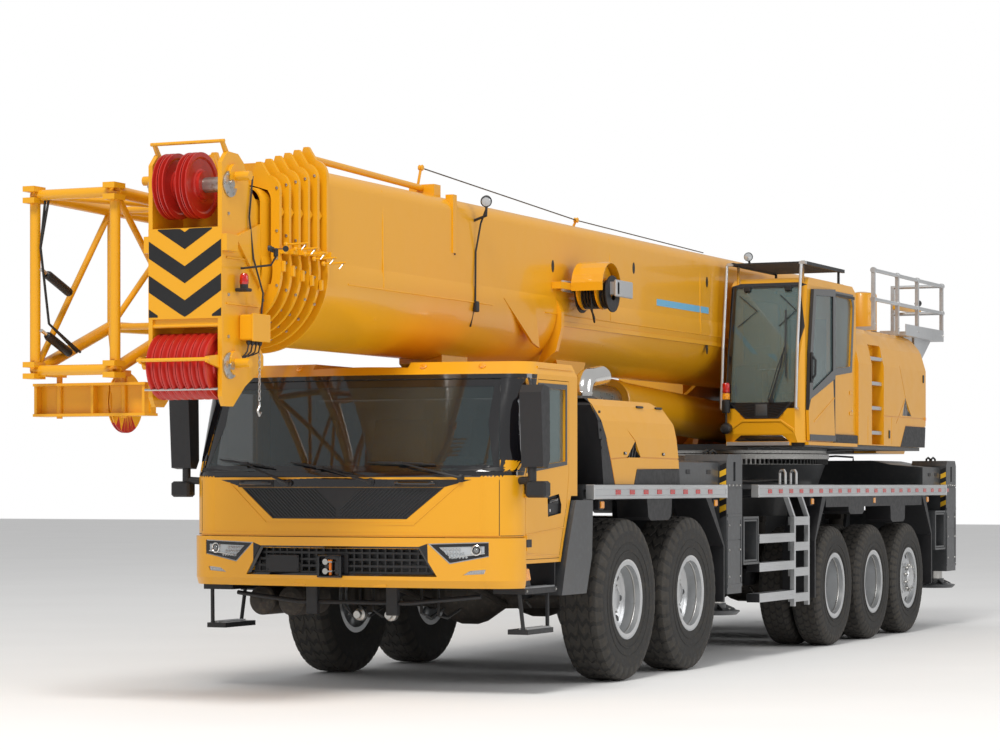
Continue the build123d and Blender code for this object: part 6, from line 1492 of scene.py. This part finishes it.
# ---------------------------------------------------------------- machinery house, platform, turntable
def dress_house():
    # the dark lower rear corner and the vent
    for sign in (1, -1):
        paint_faces("machinery_house", 1, lambda p,
                    n: sign * p.y > 1.30 and p.z < 2.325 and p.x < slew_x - 1.345 - (p.z - 2.09) * 0.9 and abs(n.y) > 0.5)
    paint_faces("machinery_house", 3, lambda p,
                n: 1.37 < abs(p.y) < 1.4405 and 2.43 < p.z < 2.65 and slew_x - 1.87 < p.x < slew_x - 1.43)
    house = Piece("house_trim", "upper", paint)
    # zigzag plate behind the rungs of the recess
    back = 1.322
    for i in range(12):
        z = 2.13 + i * 0.086
        flip = 1 if i % 2 else -1
        a, b = slew_x - 0.70, slew_x - 0.29
        if flip > 0:
            a, b = b, a
        house.tube([(a, back, z), (b, back, z + 0.086)], 0.009, 6)
    house.use(alloy)
    for z in (2.230, 2.500, 2.770, 3.040):
        for k in range(3):
            house.block((slew_x - 0.715, slew_x - 0.275), (1.355 + k * 0.022, 1.363 + k * 0.022),
                        (z + 0.018, z + 0.023), 0.001)
    # latches, lock and a small lamp on the side
    house.use(black)
    for x, z in ((-0.92, 2.22), (-2.28, 2.88)):
        house.block((slew_x + x - 0.022, slew_x + x + 0.022), (1.449, 1.458), (z - 0.045, z + 0.045), 0.008)
    house.use(amber).block((slew_x - 2.385, slew_x - 2.330), (1.446, 1.458), (2.40, 2.44), 0.004)
    house.use(paint)
    for sign in (1, -1):
        for x in (-0.13, -1.02):
            house.block((slew_x + x - 0.006, slew_x + x + 0.006), (sign * 1.4485, sign * 1.4525),
                        (2.11, 2.41), 0.002)
    # lid and handles on the roof
    house.use(frame_grey)
    for x in (-0.6, -1.5):
        house.tube([(slew_x + x - 0.09, 1.10, 3.358), (slew_x + x - 0.09, 1.10, 3.395),
                    (slew_x + x + 0.09, 1.10, 3.395), (slew_x + x + 0.09, 1.10, 3.358)], 0.010, 8)
    house.done(30)

    deck = Piece("roof_kit", "upper", silver)
    # pipes, valve block, filter and a yellow cylinder between the house and the boom
    deck.tube([(slew_x - 0.10, 1.20, 3.36), (slew_x - 0.10, 1.20, 3.52), (slew_x - 0.16, 1.18, 3.60),
               (slew_x - 0.24, 1.16, 3.56), (slew_x - 0.26, 1.16, 3.40)], 0.040, 14)
    deck.use(frame_grey).block((slew_x - 0.55, slew_x - 0.30), (0.74, 0.98), (3.355, 3.52), 0.012)
    deck.use(red).lathe([(0.03, 0), (0.03, 0.02), (0.012, 0.022), (0.012, 0.05), (0.035, 0.055),
                         (0.035, 0.062)], (slew_x - 0.42, 0.86, 3.52), (0, 0, 1), 14)
    deck.use(steel)
    for k in range(4):
        deck.lathe([(0.018, 0), (0.018, 0.03), (0.011, 0.032), (0.011, 0.05)],
                   (slew_x - 0.50 + k * 0.06, 0.98, 3.44), (0, 1, 0), 12)
    deck.use(hose)
    for k in range(4):
        deck.tube([(slew_x - 0.50 + k * 0.06, 1.02, 3.44), (slew_x - 0.50 + k * 0.06, 1.10, 3.42),
                   (slew_x - 0.62 + k * 0.05, 1.12, 3.37), (slew_x - 1.20, 1.08,
                                                            3.375 + k * 0.004)], 0.011, 8)
    deck.use(paint).lathe([(0.16, 0), (0.17, 0.01), (0.17, 0.46), (0.16, 0.48), (0.05, 0.50)],
                          (slew_x - 1.62, 0.92, 3.358), (0, 0, 1), 28)
    deck.block((slew_x - 1.05, slew_x - 0.80), (0.72, 0.98), (3.355, 3.60), 0.02)
    deck.use(steel).lathe([(0.05, 0), (0.05, 0.04), (0.03, 0.05), (0.03, 0.12)], (slew_x - 0.92, 0.85, 3.60),
                          (0, 0, 1), 14)
    deck.use(paint).tube([(slew_x - 0.60, 0.80, 3.62), (slew_x - 1.20, 0.80, 3.66),
                          (slew_x - 1.62, 0.92, 3.70)], 0.030, 10)
    deck.done(30)

    rear = Piece("platform_kit", "upper", silver)
    x_end = slew_x - 3.340
    # ribs on the platform's floor, clamps at the posts, the arm with its small lamp
    for i in range(18):
        x = slew_x - 3.30 + i * 0.085
        rear.block((x, x + 0.010), (0.78, 1.385), (3.4065, 3.412), 0.002)
    for x in (-0.56, -1.48, -2.28, -3.32):
        for z in (3.700, 4.020):
            rear.lathe([(0.030, -0.03), (0.032, -0.025), (0.032, 0.025), (0.030, 0.03)],
                       (slew_x + x, 1.380, z), (1, 0, 0), 12)
        rear.use(steel).bolt((slew_x + x, 1.398, 3.43), (0, 1, 0), 0.010)
        rear.use(silver)
    rear.use(paint).block((x_end - 0.72, x_end + 0.30), (0.86, 0.92), (3.740, 3.790), 0.006)
    rear.use(black)
    rear.tube([(x_end - 0.68, 0.89, 3.788), (x_end - 0.68, 0.89, 3.84)], 0.008, 8)
    rear.lathe([(0.02, -0.03), (0.038, -0.02), (0.040, 0.03), (0.034, 0.034)], (x_end - 0.68, 0.89, 3.870),
               (-1, 0, 0.1), 16)
    rear.use(lens).lathe([(0.032, 0.0), (0.030, 0.006), (0.008, 0.010)], (x_end - 0.712, 0.89, 3.873),
                         (-1, 0, 0.1), 16)
    rear.done(30)


def dress_turntable():
    table = Piece("turntable_kit", "upper", frame_grey)
    # motor of the slewing gear, pin caps, bolts, hoses and the drum's bearing covers
    for y in (0.80, -0.80):
        table.use(frame_grey).lathe([(0.13, 0), (0.13, 0.16), (0.10, 0.18), (0.10, 0.36), (0.06, 0.38)],
                                    (slew_x + 0.62, y, 2.0885), (0, 0, 1), 20)
        for i in range(8):
            angle = 2 * math.pi * i / 8
            table.use(steel).bolt((slew_x + 0.62 + 0.115 * math.cos(angle), y + 0.115 * math.sin(angle),
                                   2.2485), (0, 0, 1), 0.008)
    for sign in (1, -1):
        table.use(steel).lathe([(0.10, 0), (0.10, 0.010), (0.085, 0.014), (0.03, 0.014)],
                               (slew_x - 2.0, sign * 0.660, 3.330), (0, sign, 0), 24)
        for i in range(6):
            angle = 2 * math.pi * i / 6
            table.bolt((slew_x - 2.0 + 0.085 * math.cos(angle), sign * 0.672,
                        3.330 + 0.085 * math.sin(angle)), (0, sign, 0), 0.010)
        table.use(frame_grey).lathe([(0.16, 0), (0.16, 0.02), (0.13, 0.035), (0.04, 0.04)],
                                    (slew_x - 3.13, sign * 0.5802, 2.960), (0, sign, 0), 24)
        for i in range(8):
            angle = 2 * math.pi * i / 8
            table.use(steel).bolt((slew_x - 3.13 + 0.145 * math.cos(angle), sign * 0.600,
                                   2.960 + 0.145 * math.sin(angle)), (0, sign, 0), 0.010)
    table.use(hose)
    for k in range(5):
        z = 2.16 + k * 0.045
        table.tube([(slew_x + 0.95, 0.585, z), (slew_x + 0.60, 0.600, z + 0.02),
                    (slew_x - 0.30, 0.600, z + 0.05), (slew_x - 0.95, 0.592, z + 0.25)], 0.012, 8)
    # blocks of the counterweight: lifting lugs and the seams between the slabs
    table.use(frame_grey)
    for sign in (1, -1):
        table.block((slew_x - 3.642, slew_x - 3.634), (sign * 0.05, sign * 0.80), (2.395, 2.405), 0.002)
        table.tube([(slew_x - 3.10, sign * 0.72, 2.698), (slew_x - 3.10, sign * 0.72, 2.75),
                    (slew_x - 2.96, sign * 0.72, 2.75), (slew_x - 2.96, sign * 0.72, 2.698)], 0.014, 8)
    table.done(30)
    drum = Piece("hoist_rope", "winch", rope_steel)
    # turns of rope on the drum
    centre = middle("winch_drum")
    turns, sides = 34, 28
    for layer, radius in enumerate((0.202, 0.222)):
        path = []
        for i in range(turns * sides + 1):
            angle = 2 * math.pi * i / sides
            path.append((centre.x + radius * math.cos(angle), -0.425 + 0.85 * i / (turns * sides),
                         centre.z + radius * math.sin(angle)))
        drum.tube(path, 0.0115, 5)
    drum.done(60)


for step in (dress_operator_cab, dress_house, dress_turntable):
    step()


# ---------------------------------------------------------------- boom
boom_half = 0.510


def boom_top(x, y):
    """The Z of the boom's top skin at a place, found by a ray from above."""
    hit, place, normal, index = nodes["boom_base"].ray_cast(Vector((x, y, 6.0)), Vector((0, 0, -1)))
    return place.z


def skin_distance(x, z, side=1):
    """The Y of the boom's left or right skin at a place, found by a ray from outside."""
    node = nodes["boom_base"]
    hit, place, normal, index = node.ray_cast(Vector((x, side * 1.0, z)), Vector((0, -side, 0)))
    return place.y if hit else side * boom_half


def dress_boom():
    # seams of the folded plate: one along each side and one round each plate's end
    seams = Piece("boom_seams", "boom", paint)
    front, rear = edge("boom_base", 1, "x") - 0.45, slew_x + 0.5
    weld_z = 3.18
    for side in (1, -1):
        steps = 26
        for i in range(steps):
            xa, xb = front + (rear - front) * i / steps, front + (rear - front) * (i + 1) / steps
            ya, yb = skin_distance(xa, weld_z, side), skin_distance(xb, weld_z, side)
            if abs(abs(ya) - boom_half) > 0.01 or abs(abs(yb) - boom_half) > 0.01:
                continue
            seams.tube([(xa, ya, weld_z), (xb, yb, weld_z)], 0.007, 6)
        for x in (2.70, -1.95, -4.35):
            for z in (2.95, 3.20, 3.45, 3.70):
                ya, yb = skin_distance(at(x), z, side), skin_distance(at(x), z + 0.25, side)
                if abs(ya) < 0.3 or abs(yb) < 0.3:
                    continue
                seams.tube([(at(x), ya, z), (at(x), yb, z + 0.25)], 0.006, 6)
    seams.done(30)

    marks = Piece("boom_marks", "boom", blue)
    # a plain light-blue stripe on the left side; the black ovals on the holes for the lifting pins are painted shade
    y = boom_half + 0.0006
    marks.prism([(-3.15, 3.400), (-4.60, 3.400), (-4.60, 3.465), (-3.15, 3.465)], (at(0), y, 0), (1, 0, 0),
                (0, 0, 1), -0.0012, 0.0003)
    # painted shade: each black oval stands for the dark inside of a pin hole
    marks.use(black)
    for x, z in ((-0.62, 3.60), (-2.55, 3.72), (-4.55, 3.72), (-4.55, 3.04), (1.4, 3.60)):
        outline = [(0.030 * math.cos(a), 0.055 * math.sin(a)) for a in (i * math.pi / 6 for i in range(12))]
        marks.prism(outline, (at(x), y, z), (1, 0, 0), (0, 0, 1), -0.002, 0.0004)
    marks.done(30)


def dress_collars():
    """Bolts, rope guards and pins on the collars of the sections."""
    for number in range(2, 7):
        body = f"section_{number}"
        node = f"boom_section_{number}"
        low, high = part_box(node)
        collar = Piece(f"collar_{number}", body, paint)
        x = high.x - 0.012
        half = min(abs(low.y), high.y)
        for side in (1, -1):
            for z in (low.z + 0.32, low.z + 0.52, low.z + 0.72, high.z - 0.20):
                collar.use(steel).bolt((high.x, side * (half - 0.035), z), (1, 0, 0), 0.010)
            collar.use(paint).block((x - 0.030, x), (side * (half - 0.004), side * (half + 0.022)),
                                    (low.z + 0.42, low.z + 0.50), 0.004)
        for i in range(7):
            angle = math.radians(215 + i * 18.5)
            collar.use(steel).bolt((high.x, (half - 0.09) * math.cos(angle),
                                    low.z + 0.42 + (0.42 - 0.05) * math.sin(angle)), (1, 0, 0), 0.010)
        # pin with its ring on the left side, for the jib's rope guide
        collar.use(paint).lathe([(0.014, 0), (0.018, 0.006), (0.018, 0.020), (0.008, 0.026), (0.008, 0.20)],
                                 (high.x - 0.02, half + 0.02, low.z + 0.62), (0, 1, 0), 12)
        collar.use(steel).tube([(high.x - 0.02, half + 0.20, low.z + 0.62),
                                (high.x + 0.03, half + 0.215, low.z + 0.60),
                                (high.x + 0.05, half + 0.20, low.z + 0.57)], 0.004, 6)
        collar.done(30)


def dress_head():
    head = Piece("head_marks", "section_7", paint)
    cover = nodes["boom_section_7"]
    hit, place, normal, index = cover.ray_cast(Vector((at(8), 0.0, 3.18)), Vector((-1, 0, 0)))
    low, high, half = 2.86, 3.50, 0.300
    x = place.x + 0.0008
    bands = 4
    step = 0.185
    head.use(stripe_black)
    for k in range(-2, bands):
        base = low + k * step * 1.32

        def clip(z):
            return max(low + 0.004, min(high - 0.004, z))

        for side in (1, -1):
            outline = []
            samples = 8
            for i in range(samples + 1):
                a = half * i / samples
                outline.append((side * a, clip(base + a * 0.62)))
            for i in range(samples, -1, -1):
                a = half * i / samples
                outline.append((side * a, clip(base + a * 0.62 + step * 0.66)))
            if max(p[1] for p in outline) - min(p[1] for p in outline) < 0.03:
                continue
            rows = samples + 1
            bottom, top = outline[:rows], list(reversed(outline[rows:]))
            grid = [[((x, p[0], p[1]), (1, 0, 0)), ((x, q[0], q[1]), (1, 0, 0))] for p,
                    q in zip(bottom, top) if q[1] - p[1] > 0.002]
            if len(grid) > 1:
                head.sheet(grid, 0.0012)
    head.done(30)

    kit = Piece("head_kit", "section_7", paint)
    z_top, z_low = edge("head_sheaves", 1, "z"), edge("head_sheaves", 0, "z")
    shaft_x = middle("head_sheaves").x
    for side in (1, -1):
        y = side * 0.3052
        for z in (z_top - 0.238, z_low + 0.240):
            kit.use(steel).lathe([(0.095, 0), (0.095, 0.012), (0.075, 0.016), (0.030, 0.018),
                                  (0.030, 0.030)], (shaft_x, y, z), (0, side, 0), 24)
            for i in range(6):
                angle = 2 * math.pi * i / 6
                kit.bolt((shaft_x + 0.080 * math.cos(angle), y + side * 0.012, z + 0.080 * math.sin(angle)),
                         (0, side, 0), 0.011)
        # stiffening seams and bolts on the head's side plates
        kit.use(paint)
        for z in (2.95, 3.28):
            kit.block((at(4.30), at(4.76)), (y, y + side * 0.010), (z, z + 0.014), 0.003)
        for z in (2.72, 3.02, 3.34, 3.60):
            kit.use(steel).bolt((at(4.73), y, z), (0, side, 0), 0.011)
    # red lamp, junction box with its cable glands, chain and hook on the left plate
    y = 0.3052
    kit.use(black).lathe([(0.030, 0), (0.030, 0.030), (0.020, 0.034)], (at(4.60), y + 0.055, 3.07),
                         (0, 0, 1), 16)
    kit.block((at(4.56), at(4.64)), (y, y + 0.10), (3.048, 3.072), 0.006)
    kit.use(red_lens).lathe([(0.030, 0), (0.034, 0.008), (0.032, 0.060), (0.022, 0.078)],
                            (at(4.60), y + 0.055, 3.100), (0, 0, 1), 16)
    kit.use(paint).block((at(4.34), at(4.58)), (y, y + 0.115), (2.70, 2.885), 0.010)
    kit.block((at(4.33), at(4.59)), (y + 0.110, y + 0.122), (2.692, 2.893), 0.005)
    kit.use(black)
    for i in range(4):
        kit.lathe([(0.016, 0), (0.018, 0.012), (0.012, 0.030), (0.006, 0.034)],
                  (at(4.38 + i * 0.055), y + 0.060, 2.70), (0, 0, -1), 12)
        kit.tube([(at(4.38 + i * 0.055), y + 0.060, 2.67), (at(4.39 + i * 0.055), y + 0.055, 2.62),
                  (at(4.42 + i * 0.05), y + 0.020, 2.60 - 0.01 * i), (at(4.60), y + 0.012, 2.58)], 0.006, 6)
    kit.tube([(at(4.36), y + 0.06, 2.885), (at(4.35), y + 0.07, 3.05), (at(4.42), y + 0.03, 3.30),
              (at(4.45), y + 0.012, 3.60), (at(4.40), y + 0.012, 3.90)], 0.007, 6)
    kit.use(steel)
    links = 13
    for i in range(links):
        z = 2.60 - i * 0.026
        turn = (1, 0) if i % 2 else (0, 1)
        ring = [(at(4.36) + turn[0] * 0.008 * math.cos(a), y + 0.045 + turn[1] * 0.008 * math.cos(a),
                 z + 0.016 * math.sin(a))
                for a in (k * math.pi / 4 for k in range(9))]
        kit.tube(ring, 0.0032, 5)
    hook_z = 2.60 - links * 0.026
    kit.tube([(at(4.36), y + 0.045, hook_z), (at(4.36), y + 0.045, hook_z - 0.03),
              (at(4.385), y + 0.045, hook_z - 0.065), (at(4.36), y + 0.045, hook_z - 0.10), (at(4.33),
                                                                                             y + 0.045, hook_z - 0.075)], [0.007, 0.008, 0.009, 0.008, 0.005], 8)
    # anemometer on its short arm
    kit.use(black).tube([(at(4.55), y, 3.22), (at(4.50), y + 0.22, 3.24), (at(4.50), y + 0.26, 3.30)], 0.008,
                        8)
    kit.lathe([(0.018, 0), (0.018, 0.05), (0.010, 0.06)], (at(4.50), y + 0.26, 3.30), (0, 0, 1), 12)
    for k in range(3):
        angle = 2 * math.pi * k / 3
        tip = Vector((at(4.50) + 0.07 * math.cos(angle), y + 0.26 + 0.07 * math.sin(angle), 3.355))
        kit.tube([(at(4.50), y + 0.26, 3.355), tip], 0.004, 6)
        kit.lathe([(0.022, -0.018), (0.018, 0.0), (0.006, 0.014)], tip,
                  (-math.sin(angle), math.cos(angle), 0), 12)
    kit.done(30)

    ropes = Piece("head_ropes", "section_7", rope_steel)
    # a rope guard of thin rods over the lower sheaves
    guard_z = z_low + 0.07
    ropes.use(steel).tube([(shaft_x + 0.16, -0.300, guard_z), (shaft_x + 0.16, 0.300, guard_z)], 0.009, 8)
    ropes.done(30)


def dress_reel():
    """The cable reel on the boom's left side: silver bracket, black drum, cable that hangs in a loop."""
    reel = Piece("cable_reel", "boom", silver)
    x, y, z = at(-1.05), 0.76, 3.43
    reel.block((x - 0.04, x + 0.34), (0.545, 0.575), (z - 0.05, z + 0.05), 0.008)
    reel.block((x + 0.02, x + 0.075), (0.575, 0.985), (z - 0.075, z + 0.045), 0.008)
    reel.block((x - 0.30, x + 0.10), (0.960, 0.985), (z - 0.09, z + 0.06), 0.008)
    reel.use(black)
    for side in (0.60, 0.895):
        reel.lathe([(0.06, 0), (0.165, 0.004), (0.165, 0.016), (0.06, 0.020)], (x, side, z - 0.06),
                   (0, 1, 0), 32, loop=True)
    turns = 9
    for i in range(turns):
        ring_y = 0.625 + i * 0.030
        reel.lathe([(0.118, ring_y - 0.014), (0.132, ring_y - 0.007), (0.132, ring_y + 0.007),
                    (0.118, ring_y + 0.014)], (x, 0, z - 0.06), (0, 1, 0), 28, loop=True)
    reel.use(hose).tube([(x + 0.13, 0.75, z - 0.06), (x + 0.12, 0.76, z - 0.22), (x + 0.02, 0.74, z - 0.31),
                         (x - 0.12, 0.68, z - 0.26), (x - 0.22, 0.60, z - 0.16), (x - 0.26, 0.53,
                                                                                  z - 0.08)], 0.009, 8)
    reel.use(frame_grey).block((x - 0.36, x - 0.16), (0.86, 0.955), (z - 0.07, z + 0.05), 0.012)
    reel.done(30)

    # work lamp on its arm with a cable down the boom's side
    lamp = Piece("boom_lamp", "boom", black)
    lx = at(1.02)
    lamp.tube([(lx, 0.50, 3.86), (lx, 0.62, 3.90), (lx, 0.62, 3.98)], 0.012, 8)
    lamp.use(black).lathe([(0.02, -0.06), (0.040, -0.04), (0.048, 0.00), (0.048, 0.02), (0.042, 0.024)],
                          (lx, 0.62, 4.02), (1, 0.4, -0.4), 20)
    lamp.use(lens).lathe([(0.042, 0.0), (0.036, 0.008), (0.010, 0.012)],
                         Vector((lx, 0.62, 4.02)) + Vector((1, 0.4, -0.4)).normalized() * 0.02, (1, 0.4,
                                                                                                 -0.4), 20)
    lamp.use(hose).tube([(lx - 0.02, 0.62, 3.98), (lx - 0.02, 0.56, 3.84),
                         (lx - 0.01, skin_distance(lx, 3.6) + 0.008, 3.60), (lx + 0.02,
                                                                             skin_distance(lx,
                                                                                           3.2) + 0.010, 3.20), (lx - 0.02, skin_distance(lx, 2.98) + 0.008, 2.98)], 0.008, 6)
    lamp.use(black).block((lx - 0.03, lx + 0.03), (0.5102, 0.545), (3.10, 3.19), 0.006)
    lamp.done(30)

    # thin rope over the boom's top from the collars to the operator's cab end
    line = Piece("boom_line", "boom", rope_steel)
    tops = [(at(x), y, boom_top(at(x), y) + rise) for x, y,
            rise in ((1.60, 0.30, 0.14), (-1.60, 0.32, 0.08), (-4.90, 0.34, 0.03))]
    line.tube(tops, 0.006, 6)
    line.use(paint)
    for px, py, pz in tops[:2]:
        line.tube([(px, py - 0.05, boom_top(px, py - 0.05) - 0.02), (px, py, pz)], 0.012, 8)
        line.lathe([(0.020, -0.02), (0.026, -0.012), (0.018, 0), (0.026, 0.012), (0.020, 0.02)],
                   (px, py, pz), (0, 1, 0), 14)
    line.done(30)


def dress_jib():
    """Cylinders, hoses and clamps of the folded jib."""
    jib = Piece("jib_kit", "boom", black)
    low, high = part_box("lattice_jib")
    x, y = high.x - 0.10, -0.93
    for z in (low.z + 0.60, low.z + 1.05):
        jib.use(black).lathe([(0.030, 0), (0.034, 0.01), (0.034, 0.30), (0.026, 0.32)],
                             (x - 0.35, y - 0.30, z), (1, 0, 0.4), 14)
        jib.use(chrome).tube([(x - 0.08, y - 0.30, z + 0.11), (x + 0.02, y - 0.30, z + 0.15)], 0.014, 8)
    jib.use(hose)
    for k in range(2):
        jib.tube([(x, y - 0.28 + k * 0.03, high.z - 0.10), (x + 0.03, y - 0.30, high.z - 0.45),
                  (x - 0.02, y - 0.26, low.z + 0.80), (x - 0.30, y - 0.20 + k * 0.03,
                                                       low.z + 0.60)], 0.010, 6)
    jib.done(30)


for step in (dress_boom, dress_collars, dress_head, dress_reel, dress_jib):
    step()


# ---------------------------------------------------------------- stage, light and camera
def stage_floor():
    floor = Piece("floor", "carrier", pale)
    size = 90.0
    floor.add([(-size, -size, -0.010), (size, -size, -0.010), (size, size, -0.010), (-size, size, -0.010)],
              [(0, 1, 2, 3)])
    data = bpy.data.meshes.new("floor")
    data.from_pydata(floor.points, [], floor.faces)
    data.materials.append(pale)
    plane = bpy.data.objects.new("floor", data)
    scene.collection.objects.link(plane)


def pale_floor():
    n = Nodes("pale_floor")
    n.link(n.ramp(n.noise(0.4), [(0.3, (0.93, 0.93, 0.93)), (0.7, (0.96, 0.96, 0.96))]),
           n.shader.inputs["Base Color"])
    n.shader.inputs["Roughness"].default_value = 0.9
    return n.material


def area_light(name, place, target, size, power, colour=(1, 1, 1)):
    data = bpy.data.lights.new(name, "AREA")
    data.shape = "DISK"
    data.size = size
    data.energy = power
    data.color = colour
    light = bpy.data.objects.new(name, data)
    light.location = place
    light.rotation_euler = (Vector(target) - Vector(place)).to_track_quat("-Z", "Y").to_euler()
    scene.collection.objects.link(light)


def studio():
    world = bpy.data.worlds.new("studio")
    scene.world = world
    world.use_nodes = True
    background = world.node_tree.nodes["Background"]
    background.inputs["Color"].default_value = (1.0, 1.0, 1.0, 1.0)
    seen = world.node_tree.nodes.new("ShaderNodeLightPath").outputs["Is Camera Ray"]
    strength = world.node_tree.nodes.new("ShaderNodeMapRange")
    strength.inputs["To Min"].default_value = 0.52
    strength.inputs["To Max"].default_value = 1.0
    world.node_tree.links.new(seen, strength.inputs["Value"])
    world.node_tree.links.new(strength.outputs["Result"], background.inputs["Strength"])
    centre = Vector((0, 0, 2))
    area_light("key", (22, 4, 24), centre, 9, 5200, (1.0, 0.98, 0.94))
    area_light("side", (-2, 26, 12), centre, 14, 1500)
    scene.view_settings.view_transform = "Standard"


def photo_camera():
    """A long lens at eye height, ahead of the crane and to its left, looking level."""
    distance_x, distance_y, height = 21.972, 10.316, 1.659
    toward = Vector((-0.9096, -0.4155, 0))
    data = bpy.data.cameras.new("camera")
    data.sensor_width = 36
    data.lens = 99.95
    data.shift_y = 0.110
    data.clip_end = 300
    camera = bpy.data.objects.new("camera", data)
    camera.location = (at(distance_x), distance_y, height)
    camera.rotation_euler = toward.to_track_quat("-Z", "Y").to_euler()
    scene.collection.objects.link(camera)
    scene.camera = camera


pale = pale_floor()
stage_floor()
studio()
photo_camera()
